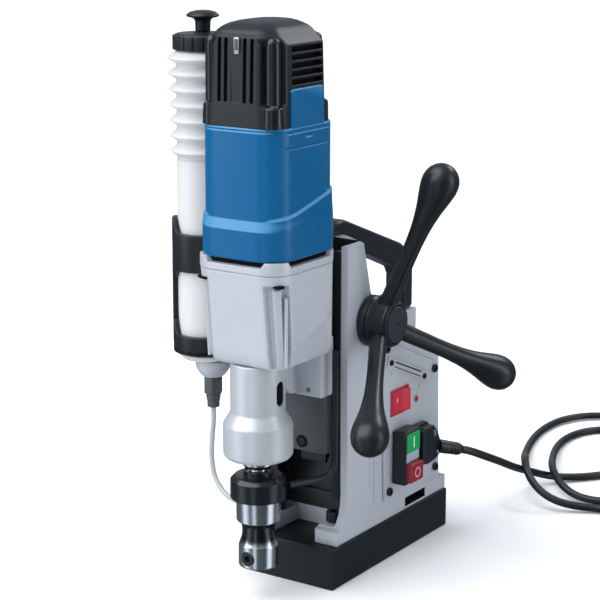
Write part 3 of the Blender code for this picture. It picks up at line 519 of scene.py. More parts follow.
def along(start, end):
    """The place whose local Z runs from start to end."""
    line = mm(end) - mm(start)
    return Matrix.Translation(mm(start)) @ line.to_track_quat("Z", "Y").to_matrix().to_4x4()


def bar(name, start, end, radius, steps=32):
    length = (Vector(end) - Vector(start)).length
    profile = [(0, length), (radius, length), (radius, 0), (0, 0)]
    return turned(name, profile, steps=steps, place=along(start, end))


def tube(name, points, radius, resolution=6):
    """A round wire, hose or cord along the points, as a curve."""
    curve = bpy.data.curves.new(name, "CURVE")
    curve.dimensions = "3D"
    curve.bevel_depth = radius * 0.001
    curve.bevel_resolution = resolution
    curve.use_fill_caps = True
    spline = curve.splines.new("POLY")
    spline.points.add(len(points) - 1)
    for point, spot in zip(spline.points, points):
        point.co = (*mm(spot), 1.0)
    spline.use_smooth = True
    return add(name, curve)


def smooth_points(route, steps=8):
    """Points on a smooth curve through the route's points."""
    route = [Vector(point) for point in route]
    ends = [2 * route[0] - route[1], *route, 2 * route[-1] - route[-2]]
    fine = []
    for a, b, c, d in zip(ends, ends[1:], ends[2:], ends[3:]):
        for step in range(steps):
            t = step / steps
            square, cube = 2 * a - 5 * b + 4 * c - d, 3 * b - a - 3 * c + d
            fine.append(0.5 * (2 * b + (c - a) * t + square * t**2 + cube * t**3))
    fine.append(route[-1])
    return fine


def relaxed(points, passes):
    """The points with small kinks eased out. The ends stay."""
    for _ in range(passes):
        middle = [(a + 2 * b + c) / 4 for a, b, c in zip(points, points[1:], points[2:])]
        points = [points[0], *middle, points[-1]]
    return points


def arc(centre_u, centre_v, radius, start, end, steps):
    turns = [math.radians(start + (end - start) * i / steps) for i in range(steps + 1)]
    return [(centre_u + radius * math.cos(a), centre_v + radius * math.sin(a)) for a in turns]


def rounded(centre_u, centre_v, half_u, half_v, radius, steps=8):
    u, v = half_u - radius, half_v - radius
    points = []
    for du, dv, start in ((u, v, 0), (-u, v, 90), (-u, -v, 180), (u, -v, 270)):
        points += arc(centre_u + du, centre_v + dv, radius, start, start + 90, steps)
    return points


def hexagon(centre_u, centre_v, radius):
    return arc(centre_u, centre_v, radius, 0, 300, 5)


# A spot on a wall: its place, outward normal and angle within the corner
Spot = namedtuple("Spot", "x y z nx ny corner")


def perimeter(half_x, half_y, radius, centre_y, z, corner_steps, side_steps):
    """Spots round a rectangle with round corners."""
    u, v = half_x - radius, half_y - radius
    points = []
    corners = ((u, v, 0), (-u, v, 90), (-u, -v, 180), (u, -v, 270))
    for index, (du, dv, start) in enumerate(corners):
        for i in range(corner_steps + 1):
            degrees = 90 * i / corner_steps
            a = math.radians(start + degrees)
            nx, ny = math.cos(a), math.sin(a)
            points.append(Spot(du + radius * nx, centre_y + dv + radius * ny, z, nx, ny, degrees))
        last = points[-1]
        next_u, next_v, next_start = corners[(index + 1) % 4]
        a = math.radians(next_start)
        end_x = next_u + radius * math.cos(a)
        end_y = centre_y + next_v + radius * math.sin(a)
        for i in range(1, side_steps):
            t = i / side_steps
            x, y = last.x + (end_x - last.x) * t, last.y + (end_y - last.y) * t
            points.append(last._replace(x=x, y=y, corner=0.0))
    return points


def walls(name, heights, outline, relief=None, corner_steps=16, side_steps=40, angle=40):
    """A closed casting. Its outline is half sizes, corner radius and centre, or a function of the height."""
    shape = bmesh.new()
    rings = []
    for height in heights:
        ring = []
        sizes = outline(height) if callable(outline) else outline
        for at in perimeter(*sizes, height, corner_steps, side_steps):
            out = relief(at) if relief else 0.0
            ring.append(shape.verts.new(mm((at.x + at.nx * out, at.y + at.ny * out, height))))
        rings.append(ring)
    for lower, upper in zip(rings, rings[1:]):
        for i in range(len(lower)):
            j = (i + 1) % len(lower)
            shape.faces.new((lower[i], lower[j], upper[j], upper[i]))
    shape.faces.new(rings[0])
    shape.faces.new(rings[-1])
    return smooth(from_bmesh(name, shape), angle)


def steps_between(low, high, step):
    count = max(1, round((high - low) / step))
    return [low + (high - low) * i / count for i in range(count + 1)]


def band(name, centre, inner, outer, bottom_at, top_at, steps=96):
    """A ring whose lower and upper rims rise and fall round it."""
    shape = bmesh.new()
    rings = [[], [], [], []]
    for i in range(steps):
        degrees = 360 * i / steps
        a = math.radians(degrees)
        low, high = bottom_at(degrees), top_at(degrees)
        for ring, radius, height in zip(rings, (outer, outer, inner, inner), (low, high, high, low)):
            spot = (centre[0] + radius * math.cos(a), centre[1] + radius * math.sin(a), height)
            ring.append(shape.verts.new(mm(spot)))
    for ring, following in zip(rings, rings[1:] + rings[:1]):
        for i in range(steps):
            j = (i + 1) % steps
            shape.faces.new((ring[i], ring[j], following[j], following[i]))
    piece = from_bmesh(name, shape)
    return smooth(bevel(piece, 0.8, 3, 50))


def paint(piece, look):
    piece.data.materials.clear()
    piece.data.materials.append(LOOKS[look])


def give(piece, body, look, *stands_for):
    """Puts a material on a piece, has it ride on a body and stand for CAD nodes."""
    paint(piece, look)
    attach(piece, body)
    if stands_for:
        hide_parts(*stands_for)
    return piece


# The camera, the floor and the light


def make_camera():
    azimuth, elevation, roll = map(math.radians, (CAMERA_AZIMUTH, CAMERA_ELEVATION, CAMERA_ROLL))
    right = Vector((math.cos(azimuth), math.sin(azimuth), 0))
    level = Vector((math.sin(azimuth), -math.cos(azimuth), 0))
    back = level * math.cos(elevation) + Vector((0, 0, math.sin(elevation)))
    up = back.cross(right)
    place = right * CAMERA_SHIFT[0] + up * CAMERA_SHIFT[1] + back * CAMERA_SHIFT[2]
    rolled = (
        right * math.cos(roll) + up * math.sin(roll),
        up * math.cos(roll) - right * math.sin(roll),
        back,
    )
    data = bpy.data.cameras.new("camera")
    data.sensor_width = 36
    data.lens = CAMERA_LENS
    camera = bpy.data.objects.new("camera", data)
    bpy.context.scene.collection.objects.link(camera)
    camera.matrix_world = Matrix.Translation(place * 0.001) @ Matrix(rolled).transposed().to_4x4()
    bpy.context.scene.camera = camera


def area_light(name, place, target, size, power):
    data = bpy.data.lights.new(name, "AREA")
    data.shape = "RECTANGLE"
    data.size, data.size_y = size
    data.energy = power
    light = bpy.data.objects.new(name, data)
    bpy.context.scene.collection.objects.link(light)
    aim = Vector(target) - Vector(place)
    light.matrix_world = Matrix.Translation(place) @ aim.to_track_quat("-Z", "Y").to_matrix().to_4x4()
    return light


def make_studio():
    """A pale floor, an even soft sun, strips for the highlights, and a room that is dim near the horizon."""
    floor = bpy.data.meshes.new("floor")
    shape = bmesh.new()
    bmesh.ops.create_grid(shape, x_segments=1, y_segments=1, size=40.0)
    shape.to_mesh(floor)
    shape.free()
    ground = add("floor", floor, Matrix.Translation((0, 0, -0.0002)))
    ground.data.materials.append(
        surface("floor", (0.95, 0.95, 0.955), 0.8, bump=0.0, mottle=0.004, edge=0.01, specular=0.1)
    )
    ground.visible_glossy = False
    sun = bpy.data.lights.new("sky", "SUN")
    sun.energy = SUN_STRENGTH
    sun.angle = math.radians(70)
    light = bpy.data.objects.new("sky", sun)
    bpy.context.scene.collection.objects.link(light)
    light.matrix_world = Vector(SUN_FROM).to_track_quat("Z", "Y").to_matrix().to_4x4()
    for strip in STRIPS:
        area_light(*strip)
    area_light(*FILL).visible_glossy = False
    make_room()
    bpy.context.scene.view_settings.view_transform = "Standard"


def make_room():
    """The room round the stage: dim near the horizon, with tall soft strips for the polished parts."""
    world = bpy.data.worlds.new("studio")
    world.use_nodes = True
    tree = world.node_tree
    place = node(tree, "SeparateXYZ", {0: node(tree, "TexCoord").outputs["Generated"]}).outputs
    turn = node(tree, "Math", {0: place["Y"], 1: place["X"]}, operation="ARCTAN2").outputs[0]
    share = node(tree, "MapRange", {"Value": turn, "From Min": -math.pi, "From Max": math.pi}).outputs[0]
    height = node(tree, "MapRange", {"Value": place["Z"], "From Min": -1.0}).outputs[0]
    strips = mixed(tree, 1.0, ramp(tree, share, ROOM_STRIPS), ramp(tree, height, STRIP_HEIGHTS), "MULTIPLY")
    light = mixed(tree, 1.0, strips, ramp(tree, height, ROOM_LEVELS), "ADD")
    tinted = mixed(tree, 1.0, light, ROOM_TINT, "MULTIPLY")
    seen = node(tree, "LightPath").outputs["Is Camera Ray"]
    colour = mixed(tree, seen, tinted, (1.0, 1.0, 1.0))
    feed(tree, tree.nodes["Background"], {"Color": colour, "Strength": ROOM_STRENGTH})
    bpy.context.scene.world = world


# The mains cord


def coil_points():
    """The spare cord's turns, and the short run from the last one to the plug."""
    points = []
    for (radius, height), (next_radius, next_height) in zip(COIL_TURNS, COIL_TURNS[1:]):
        for degrees in range(0, 360, 12):
            shift = ease(300, 360, degrees)
            r = radius + (next_radius - radius) * shift
            z = height + (next_height - height) * shift
            a = math.radians(COIL_START + degrees)
            points.append((COIL[0] + r * math.cos(a), COIL[1] + r * math.sin(a), z))
    radius, height = COIL_TURNS[-1]
    for degrees in range(0, 73, 12):
        a = math.radians(COIL_START + degrees)
        points.append((COIL[0] + radius * math.cos(a), COIL[1] + radius * math.sin(a), height))
    edge = COIL[0] + radius
    return [*points, (edge, COIL[1] + 8, 16.6), (edge, COIL[1] + 17, 17.8), (edge, COIL[1] + 25.7, 18.4)]


def mains_lead():
    run = relaxed(smooth_points([*CORD_ROUTE, COIL_ENTRY, *coil_points()], 5), 8)
    cord = tube("mains_lead", run, CORD_RADIUS)
    give(cord, "stand", "rubber", "mains_cord", "cord_coil")
    tie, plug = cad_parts["cord_tie"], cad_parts["mains_plug"]
    for piece in (tie, plug):
        paint(piece, "plastic")
    mm(CORD_ROUTE[0])


def strain_relief():
    """A tapered sleeve with flexing grooves."""
    start, end = RELIEF
    length = (Vector(end) - Vector(start)).length
    profile = [(0, length), (3.5, length), (3.9, length - 0.4), (5.0, length - 2.7), (5.1, length - 3.4)]
    for i in range(3):
        low = length - 6.2 - i * 2.6
        radius = 5.12 + i * 0.05
        profile += [
            (radius, low + 1.1), (radius - 0.35, low + 0.9), (radius - 0.35, low + 0.2), (radius, low),
        ]
    profile += [(5.4, 3.0), (5.4, 0.0), (0, 0)]
    sleeve = turned("cord_sleeve", filleted(profile, 0.3), place=along(start, end), steps=64)
    give(sleeve, "stand", "rubber", "strain_relief")


# The stand


def stand_details():
    """Ribs on the stand's right wall."""
    lines = (
        [(-24.5, 163.0), (-22.5, 169.5), (-14.5, 172.5)],
        [(-24.5, 163.0), (-24.5, 118.0)],
        [(-24.5, 52.0), (-24.5, 100.0)],
        [(-30.5, 60.0), (-30.5, 98.0)],
    )
    for index, line in enumerate(lines, 1):
        points = [(38.0, y, z) for y, z in line]
        give(tube(f"wall_rib_{index}", points, 1.3, 4), "stand", "paint")


def magnet():
    body = bevel(block("magnet_block", (-40, -85, 0.0), (40, 85, 31)), 0.9, 3)
    cutters = [
        prism("groove_left", rounded(-24, 0, 7, 76, 5), -3, 22),
        prism("groove_right", rounded(24, 0, 7, 76, 5), -3, 22),
        block("groove_front", (-18, -75.5, -3), (18, -62, 22)),
        block("groove_rear", (-18, 62, -3), (18, 75.5, 22)),
    ]
    for cutter in cutters:
        body = cut(body, [cutter])
    give(smooth(body), "stand", "magnet", "magnet_housing")


def fastener(name, spot, axis, radius, height, body, look, *nodes):
    """A round screw head with a hexagon socket."""
    profile = filleted([(0, height), (radius, height), (radius, 0), (0, 0)], radius * 0.22)
    head = turned(name, profile, spot, axis, 48)
    point = Vector(spot)
    key = prism(
        "key", hexagon(0, 0, radius * 0.52), height * 0.35, height + 2, "Z",
        place=Matrix.Translation(mm(point)) @ facing(axis),
    )
    head = smooth(cut(head, [key]))
    return give(head, body, look, *nodes)


def stand_screws():
    for i, (y, z) in enumerate([(-12.7, 168.5), (60.0, 137.0), (63.6, 55.2), (-6.3, 54.2)], 1):
        fastener(f"panel_bolt_{i}", (40.2, y, z), "X", 3.3, 2.1, "stand", "dark_steel", f"panel_screw_{i}")
    bolts = [(x, y, *sizes) for y, *sizes in FOOT_BOLTS for x in (-sizes[0], sizes[0])]
    for i, (x, y, _, radius, top, height) in enumerate(bolts, 1):
        fastener(
            f"magnet_bolt_{i}", (x, y, top), "Z", radius, height, "stand", "dark_steel", f"foot_bolt_{i}"
        )


def slide_screw():
    """The screw sunk in the slide's front face, near its lower end."""
    spot = (2.8, -70.0, 105.0)
    # A dark disc round the screw: painted shade for its bore.
    bore = [(0, 0.12), (4.3, 0.12), (4.3, -0.1), (0, -0.1)]
    give(turned("slide_bore_shade", bore, spot, "Y", 40), "carriage", "void")
    rim = closed([(5.0, 0.25), (5.0, -0.1), (4.2, -0.1), (4.2, 0.25)])
    give(turned("slide_rim", rim, spot, "Y", 40), "carriage", "dark_steel")
    fastener("slide_bolt", spot, "Y", 2.9, 0.5, "carriage", "dark_steel")


def scale_bar():
    """The long plate with its two lines, its screws and its end marks."""
    corners = [(-9.5, 162.2), (49.5, 137.3), (46.6, 129.6), (-12.4, 154.5)]
    plate = prism("scale_bar", corners, 40.2, 41.0, "X", 0.4, 2)
    give(plate, "stand", "paint", "rating_plate")
    slope = Vector((59.0, -24.9)).normalized()
    across = Vector((-slope.y, slope.x))
    middle = Vector((18.5, 145.9))
    for index, (shift, width) in enumerate(((1.7, 0.5), (-1.9, 0.35))):
        line = []
        for du, dv in ((-21, -width), (21, -width), (21, width), (-21, width)):
            spot = middle + slope * du + across * (shift + dv)
            line.append((spot.x, spot.y))
        give(prism(f"scale_line_{index + 1}", line, 40.9, 41.15, "X"), "stand", "void")
    for index, (y, z) in enumerate(((-6.6, 156.4), (43.3, 134.6)), 1):
        fastener(f"scale_screw_{index}", (40.9, y, z), "X", 2.3, 1.3, "stand", "dark_steel")
    for index, (y, z) in enumerate(((-4.6, 147.6), (37.6, 128.0)), 1):
        mark = block(f"scale_mark_{index}", (39.9, y - 1.2, z - 1.4), (40.15, y + 1.2, z + 1.4))
        give(mark, "stand", "lime")


def rocker_switch():
    """The magnet's rocker in its frame, tilted as it rests."""
    tilt = Matrix.Translation(mm(ROCKER)) @ Matrix.Rotation(math.radians(ROCKER_TURN), 4, "Z")
    outline = [
        (-3.0, -8.4), (4.6, -10.7), (4.6, -9.6), (3.6, -4.0), (3.0, 0.0), (3.6, 4.0), (4.6, 9.6),
        (4.6, 10.7), (-3.0, 8.4),
    ]
    rocker = prism("rocker_key", outline, -8.6, 8.6, "Z", 0.5, 3, place=tilt)
    give(smooth(rocker), "rocker", "red", "magnet_rocker")
    mark = block("rocker_mark", (3.55, -5.2, -0.5), (3.75, -4.2, 3.2), place=tilt)
    give(mark, "rocker", "mark")
    bezel = bevel(block("rocker_frame", (40.2, -5.4, 113.2), (41.2, 20.4, 133.8)), 0.4, 3)
    hole = block("hole", (30, -4.2, 114.5), (50, 19.2, 132.5))
    give(smooth(cut(bezel, [hole])), "stand", "red", "rocker_bezel")


def lamp():
    dome = filleted([(0, 41.9), (1.5, 41.6), (1.9, 40.0), (1.9, 39.0), (0, 39.0)], 0.5)
    give(turned("lamp", dome, LAMP, "X", 32), "stand", "lamp", "magnet_led")
    bezel = closed([(2.9, 40.5), (2.9, 39.9), (2.0, 39.9), (2.0, 40.5)])
    give(turned("lamp_bezel", bezel, LAMP, "X", 32), "stand", "grey")


def buttons():
    """The box of the start and stop buttons, with the label between them."""
    box = bevel(block("switch_case", (40.2, -2.7, 59.5), (52.3, 20.4, 101.8)), 1.6, 4)
    well = block("well", (41.2, -0.9, 61.0), (60, 18.6, 100.2))
    give(smooth(cut(box, [well])), "stand", "plastic", "switch_box")
    give(block("button_label", (41.2, -0.8, 76.9), (51.9, 18.5, 84.5), 0.3, 2), "stand", "label")
    start = smooth(block("start_key_cap", (44.5, -0.6, 84.9), (53.0, 18.3, 99.9), 0.9, 4))
    give(start, "start_key", "green", "start_button")
    give(block("start_mark", (52.9, 8.1, 88.2), (53.05, 9.5, 96.8)), "start_key", "mark")
    stop = smooth(block("stop_key_cap", (44.5, -0.6, 61.5), (56.6, 18.3, 76.5), 1.5, 5))
    give(stop, "stop_key", "stop_red", "stop_button")
    ring = closed([(4.1, 0.12), (4.1, -0.2), (3.1, -0.2), (3.1, 0.12)])
    give(turned("stop_mark", ring, (56.6, 8.9, 69.0), "X", 48), "stop_key", "pink_mark")


def connector():
    """The lead's connector: a flange at the wall, the body with its chamfered face, and two raised marks."""
    outline = [
        (24, 69), (24, 96), (28, 99), (43.5, 98.5), (49, 93), (55.5, 81), (55.5, 70.5), (48, 67),
        (34, 65.5),
    ]
    flange = prism("lead_flange", outline, 40.3, 44.6, "X", 0.6, 2)
    shape = [
        (26.0, 68.6), (25.6, 95.0), (28.6, 97.4), (43.0, 97.0), (48.0, 92.2), (54.6, 80.4), (54.6, 71.4),
        (47.4, 68.2), (35, 66.8),
    ]
    body = prism("lead_block", shape, 44.2, 51.5, "X", 1.7, 4)
    start, end = map(Vector, RELIEF)
    line = (end - start).normalized()
    body = cut(body, [bar("socket", start - line * 0.3, start + line * 30, 5.7)])
    give(smooth(flange), "stand", "plastic", "cord_connector")
    give(smooth(body), "stand", "plastic")
    for index, (y, z, high) in enumerate(((43.4, 90.0, 2.6), (48.4, 73.6, 1.7)), 1):
        slant = [(y - 1.5, z + high), (y + 0.3, z + high), (y + 1.9, z - high), (y + 0.1, z - high)]
        give(prism(f"lead_mark_{index}", slant, 51.4, 51.75, "X"), "stand", "grey")


def handle():
    outer = [
        (-40, 254.4), (-40, 261), (-35.5, 264.6), (-20, 264.3), (62, 233.1), (74, 225.5), (80, 214),
        (80, 178.3),
    ]
    inner = [(65, 178.3), (65, 206), (60.5, 212.8), (-13, 242.7), (-20.2, 243.6), (-22.8, 254.4)]
    grip = bevel(prism("handle_grip", outer + inner, -9, 9, "X"), 3.6, 5, 50)
    give(smooth(grip, 50), "stand", "plastic", "carry_handle")


# The feed wheel


def lever_profile(length):
    """A lever's radius and height, from its round end down to the hub."""
    shape = [
        (0, 0.0), (3.2, 0.5), (6.2, 1.7), (9.0, 3.8), (11.4, 6.8), (12.9, 10.3), (13.5, 14.2), (13.3, 18.5),
        (12.4, 23.5), (11.0, 29.5), (9.4, 36.5), (8.0, 44.5), (6.9, 54.0), (6.3, 65.0), (6.1, 78.0),
        (6.3, 92.0), (6.5, 106.0),
    ]
    points = [(radius, length - down) for radius, down in shape if length - down > 14.0]
    return points + [(6.5, 13.0), (0, 13.0)]


def feed_wheel():
    profile = [
        (0, 60.2), (14.0, 60.2), (14.0, 61.4), (15.4, 61.4), (17.3, 58.6), (17.3, 45.2), (19.2, 43.4),
        (19.2, 38.4), (8.3, 38.4), (8.3, 57.3), (0, 57.3),
    ]
    give(turned("wheel_hub", filleted(profile, 0.8), HUB, "X"), "feed_wheel", "grip", "feed_hub")
    disc = [(0, 62.0), (1.0, 62.0), (1.15, 62.35), (12.9, 62.35), (13.6, 61.7), (13.6, 60.4), (0, 60.4)]
    give(turned("wheel_cap", disc, HUB, "X"), "feed_wheel", "cap_grey", "hub_cap")
    dot = [(0, 62.3), (1.0, 62.3), (1.0, 61.5), (0, 61.5)]
    give(turned("wheel_dot", dot, HUB, "X", 24), "feed_wheel", "void")
    tilt = math.radians(LEVER_TILT)
    for i in range(3):
        angle = math.radians(90.8 - 120 * i)
        out = Vector((math.sin(tilt), math.cos(tilt) * math.cos(angle), math.cos(tilt) * math.sin(angle)))
        root = Vector((46.8, HUB[1], HUB[2]))
        place = along(root, root + out)
        lever = turned(f"lever_{i + 1}", lever_profile(LEVER_LENGTH + 14), steps=64, place=place)
        give(smooth(lever, 60), "feed_wheel", "grip", f"feed_lever_{i + 1}")
        collar = closed([(7.6, 19.8), (7.6, 14.5), (6.2, 14.5), (6.2, 19.8)])
        collar = turned(f"lever_collar_{i + 1}", filleted(collar, 0.7), place=place, steps=48)
        give(collar, "feed_wheel", "grip")


# The motor


MOTOR_LOW, MOTOR_HIGH = 256.3, 347.0
# The height of the sweeping edge on the motor's sides, by y
SWOOSH = ((-149, 285.2), (-126, 288.8), (-108, 292.9), (-90, 297.4), (-70, 303.0))


def motor_relief(at):
    """The flare round the motor's foot, its sweeping edge on the sides, and the side plates' grooves."""
    side = ease(0.25, 0.95, abs(at.nx))
    front = 2.3 * (1 - min(1.0, max(0.0, (at.z - 276.7) / 7.3)))
    crest = between(SWOOSH, at.y)
    gentle = 0.9 * (1 - ease(276.5, crest - 1.5, at.z))
    steep = 1.4 * (1 - ease(crest - 1.8, crest, at.z))
    out = front * (1 - side) + (gentle + steep) * side
    if at.ny < 0:
        out -= 2.0 * abs(at.ny) * (at.x / 34.9) ** 2
    out -= 0.7 * (1 - ease(256.3, 257.4, at.z))
    out -= 0.8 * ease(346.2, 347.0, at.z)
    if abs(at.nx) > 0.97:
        plate = -141.5 < at.y < -86.5
        if plate:
            out -= 1.0 * groove(at.z - 333.2, 1.1) * ease(-142, -138, at.y)
        if 299.5 < at.z < 333.2:
            out -= 1.0 * groove(at.y + 87.6, 1.2)
        if -113.8 < at.y < -106.0:
            out -= 1.3 * groove(at.z - 340.3, 1.2)
        out -= 0.5 * groove(at.z - 343.6, 0.9)
    out -= 0.55 * groove(at.z - 344.9, 0.8) * (1 - side)
    return out


def motor():
    heights = steps_between(MOTOR_LOW, MOTOR_HIGH, 0.55)
    body = walls("motor_shell", heights, (34.9, 39.0, 17.5, -109.7), motor_relief, 18, 60)
    room = walls("room", [255.0, 348.0], (31.0, 35.0, 14.0, -110.2), None, 8, 1)
    give(smooth(cut(body, [room]), 40), "carriage", "blue", "motor_housing")
    outline = [(-130.5, 345.0), (-130.0, 371.5), (-128.5, 373.0), (-92.6, 373.0), (-91.2, 371.5), (-90, 345.0)]
    for side, start, end in ((-1, -34.7, -31.2), (1, 31.2, 34.7)):
        tab = prism(f"motor_tab_{side + 2}", outline, start, end, "X", 0.7, 3)
        give(smooth(tab), "carriage", "blue")


# The cap's half sizes and corner radius by height
CAP_SHAPE = (
    (347.3, 33.4, 37.9, 16.0), (362.0, 33.2, 37.7, 16.0), (402.4, 32.3, 36.5, 15.5),
    (406.0, 29.0, 36.2, 15.0), (408.6, 26.4, 35.6, 14.0), (409.4, 25.6, 34.2, 13.8),
    (411.5, 23.6, 32.6, 12.4), (413.5, 21.4, 29.6, 11.0), (415.5, 18.0, 25.0, 9.5),
    (417.0, 13.6, 19.0, 7.5), (417.9, 8.4, 12.0, 5.0), (418.3, 2.8, 4.0, 1.5),
)


def cap_outline(z):
    sizes = [between([(row[0], row[k]) for row in CAP_SHAPE], z) for k in (1, 2, 3)]
    return (*sizes, MOTOR_Y)


def cap_relief(at):
    """Valleys beside the front pillars, and the narrower rear corners."""
    if at.ny > 0:
        return -5.4 * math.sin(math.radians(2 * at.corner)) * ease(360.0, 364.0, at.z)
    if not 8 < at.corner < 82:
        return 0.0
    valley = ease(8, 20, at.corner) * (1 - ease(70, 82, at.corner))
    return -4.6 * valley * ease(361.5, 363.5, at.z) * (1 - ease(402.0, 407.5, at.z))


def motor_cap():
    heights = steps_between(347.3, 403.0, 1.1) + steps_between(403.6, 418.3, 0.7)
    cap = walls("motor_top", heights, cap_outline, cap_relief, 18, 24, 38)
    room = walls("room", [340.0, 401.0], (28.6, 33.4, 12.0, MOTOR_Y), None, 8, 1)
    cap = cut(cap, [room])
    slots = []
    for x in (-13.4, -8.1, 7.5, 13.4):
        slots.append(prism("slot", rounded(x, 385.2, 1.45, 21.6, 0.7, 3), -155, -141, "Y"))
    for side in (-1, 1):
        for step in range(5):
            low = 375.4 + 5.45 * step
            slots.append(block("louvre", (side * 26, -127.5, low), (side * 40, -90.0, low + 3.9)))
    for side in (-1, 1):
        slots.append(block("tab_room", (side * 30.6, -130.9, 340), (side * 40, -89.6, 373.3)))
    cap = cut(cap, slots)
    recess = prism("recess", rounded(-0.1, 385.4, 3.6, 21.8, 0.8, 3), -155, -146.9, "Y")
    cap = smooth(cut(cap, [recess]), 38)
    give(cap, "carriage", "cap_plastic", "motor_cap")
    # Painted shade: a dark wall inside the cap, seen through its slots and louvres.
    inner_shade = walls("motor_inner_shade", [349.0, 400.0], (28.2, 33.0, 12.0, MOTOR_Y), None, 8, 1)
    give(inner_shade, "carriage", "void")


def cap_pillars():
    """The round pillars at the cap's corners, each on a foot with its screw."""
    for i, (x, y) in enumerate(((-24.6, -138.8), (26.0, -140.0), (-22.2, -83.6), (22.2, -83.6)), 1):
        profile = [
            (0, 408.0), (3.0, 407.4), (4.8, 405.0), (5.3, 400.0), (5.4, 364.0), (5.4, 362.6), (0, 362.6),
        ]
        pillar = turned(f"cap_pillar_{i}", filleted(profile, 1.5), (x, y, 0), "Z", 48)
        give(pillar, "carriage", "collar")
        foot = [(0, 361.4), (6.4, 361.4), (7.0, 360.6), (7.6, 347.4), (0, 347.4)]
        give(turned(f"cap_foot_{i}", foot, (x, y, 0), "Z", 48), "carriage", "collar")
        head = [(0, 363.4), (2.6, 363.3), (3.2, 362.9), (3.2, 361.0), (0, 361.0)]
        spot = (x + math.copysign(1.8, x), y + math.copysign(1.8, y - MOTOR_Y), 0)
        give(turned(f"cap_screw_{i}", head, spot, "Z", 32), "carriage", "hex_grey")


def cap_clip():
    """The bright clip high on the cap's front."""
    clip_outline = rounded(1.3, 401.8, 2.3, 5.6, 1.1, 4)
    give(smooth(prism("cap_clip", clip_outline, -147.7, -146.9, "Y", 0.25, 2)), "carriage", "steel")
    hole = prism("cap_clip_hole", rounded(1.3, 402.6, 1.5, 3.9, 0.8, 4), -147.78, -147.6, "Y")
    give(hole, "carriage", "hex_grey")


# The gearbox


# The gearbox's half sizes, corner radius and centre by height
GEARBOX_SHAPE = (
    (178.0, 31.5, 31.5, 13.0, -107.0), (179.2, 33.3, 33.3, 14.0, -107.0), (181.0, 34.8, 34.8, 15.0, -107.0),
    (184.0, 35.7, 35.8, 15.5, -107.1), (188.0, 36.2, 36.6, 16.0, -107.4), (246.8, 37.4, 40.0, 18.0, -110.5),
)


def gearbox_outline(z):
    return tuple(between([(row[0], row[k]) for row in GEARBOX_SHAPE], z) for k in (1, 2, 3, 4))


def gearbox_relief(at):
    """The corner channels with their posts, and the slanting step low on each side."""
    out = -0.35 * ease(245.9, 246.8, at.z)
    if at.ny < 0 and 10 < at.corner < 80:
        channel = ease(12, 17, at.corner) * (1 - ease(73, 78, at.corner))
        post = ease(27, 36, at.corner) * (1 - ease(54, 63, at.corner))
        height = 1 - ease(239.0, 240.2, at.z)
        out -= (5.0 * channel - 3.4 * post * (1 - ease(236.0, 239.0, at.z))) * height * ease(178, 181, at.z)
    if abs(at.nx) > 0.9:
        crease = 190.0 + (at.y + 136.0) * 0.36
        out -= 2.1 * (
            1 - ease(crease - 3.0, crease, at.z)
        ) * ease(0.9, 1.0, abs(at.nx)) * ease(-139, -132, at.y)
    return out


def cover_relief(at):
    """The gaps between the cover's four corner lands."""
    out = -0.3 * (1 - ease(247.1, 247.8, at.z)) - 0.4 * ease(255.2, 256.0, at.z)
    if at.z > 252.0:
        front = abs(at.ny) > abs(at.nx)
        reach = abs(at.x) if front else abs(at.y + 110.5)
        edge = 21.8 if front else 24.2
        edge += (at.z - 252.0) * 0.75
        out -= 5.0 * (1 - ease(edge - 1.0, edge, reach)) * ease(252.0, 252.6, at.z)
    return out


def gearbox():
    heights = steps_between(178.0, 190.0, 0.5) + steps_between(190.8, 246.8, 0.8)
    body = walls("gearbox_shell", heights, gearbox_outline, gearbox_relief, 36, 30, 42)
    give(body, "carriage", "paint", "gearbox_housing")
    pad = block("gearbox_rear_pad", (-30.5, -86, 146), (30.5, -70.5, 190), 1.2, 3)
    web_outline = [
        (-106, 178.5), (-102.4, 160.0), (-98.5, 153.0), (-92.0, 147.5), (-85.0, 147.5), (-85.0, 182.0),
        (-106, 182.0),
    ]
    web = prism("gearbox_web", web_outline, -9, 9, "X", 1.0, 3)
    pad = cut(pad, [bar("pad_bore", (18.6, -90, 151), (18.6, -81, 151), 1.7)])
    give(smooth(pad), "carriage", "paint")
    give(smooth(web), "carriage", "paint")
    heights = steps_between(247.1, 251.6, 0.6) + steps_between(252.0, 256.0, 0.4)
    cover = walls("gearbox_lid", heights, (37.8, 40.3, 18.0, -110.5), cover_relief, 18, 90, 42)
    give(cover, "carriage", "cover_paint", "gearbox_cover")
    # Painted shade: a dark wall inside the cover, seen in the gaps between its corner lands.
    gap_shade = walls("gearbox_gap_shade", [251.0, 256.25], (34.0, 36.5, 15.0, -110.5), None, 10, 1)
    give(gap_shade, "carriage", "void")
    gasket = walls("gearbox_gasket", [246.7, 247.2], (37.0, 39.5, 17.4, -110.5), None, 12, 1)
    give(gasket, "carriage", "void")
    for index, side in enumerate((-1, 1), 1):
        x, y = side * 32.3, -142.6
        # A dark oval high on each front corner: painted shade for a hole.
        hole = [(0, 1.5), (2.4, 1.3), (3.7, 0.7), (4.1, 0), (3.7, -0.7), (2.4, -1.3), (0, -1.5)]
        give(turned(f"corner_hole_shade_{index}", hole, (x, y, 239.3), "Z", 32), "carriage", "void")
        rib = bar(f"corner_rib_{index}", (side * 34.2, -136.6, 231.0), (side * 32.8, -134.8, 180.5), 1.4, 20)
        give(rib, "carriage", "cover_paint")
    notch = block("gearbox_notch", (-28.2, -150.4, 239.2), (-23.8, -149.0, 241.0), 0.4, 2)
    give(notch, "carriage", "void")


# The spindle


def side_slot(radius):
    """The outline of the slot in the spindle's side."""
    return arc(SPINDLE[1], 161.5, radius, 0, 180, 12) + arc(SPINDLE[1], 152.1, radius, 180, 360, 12)


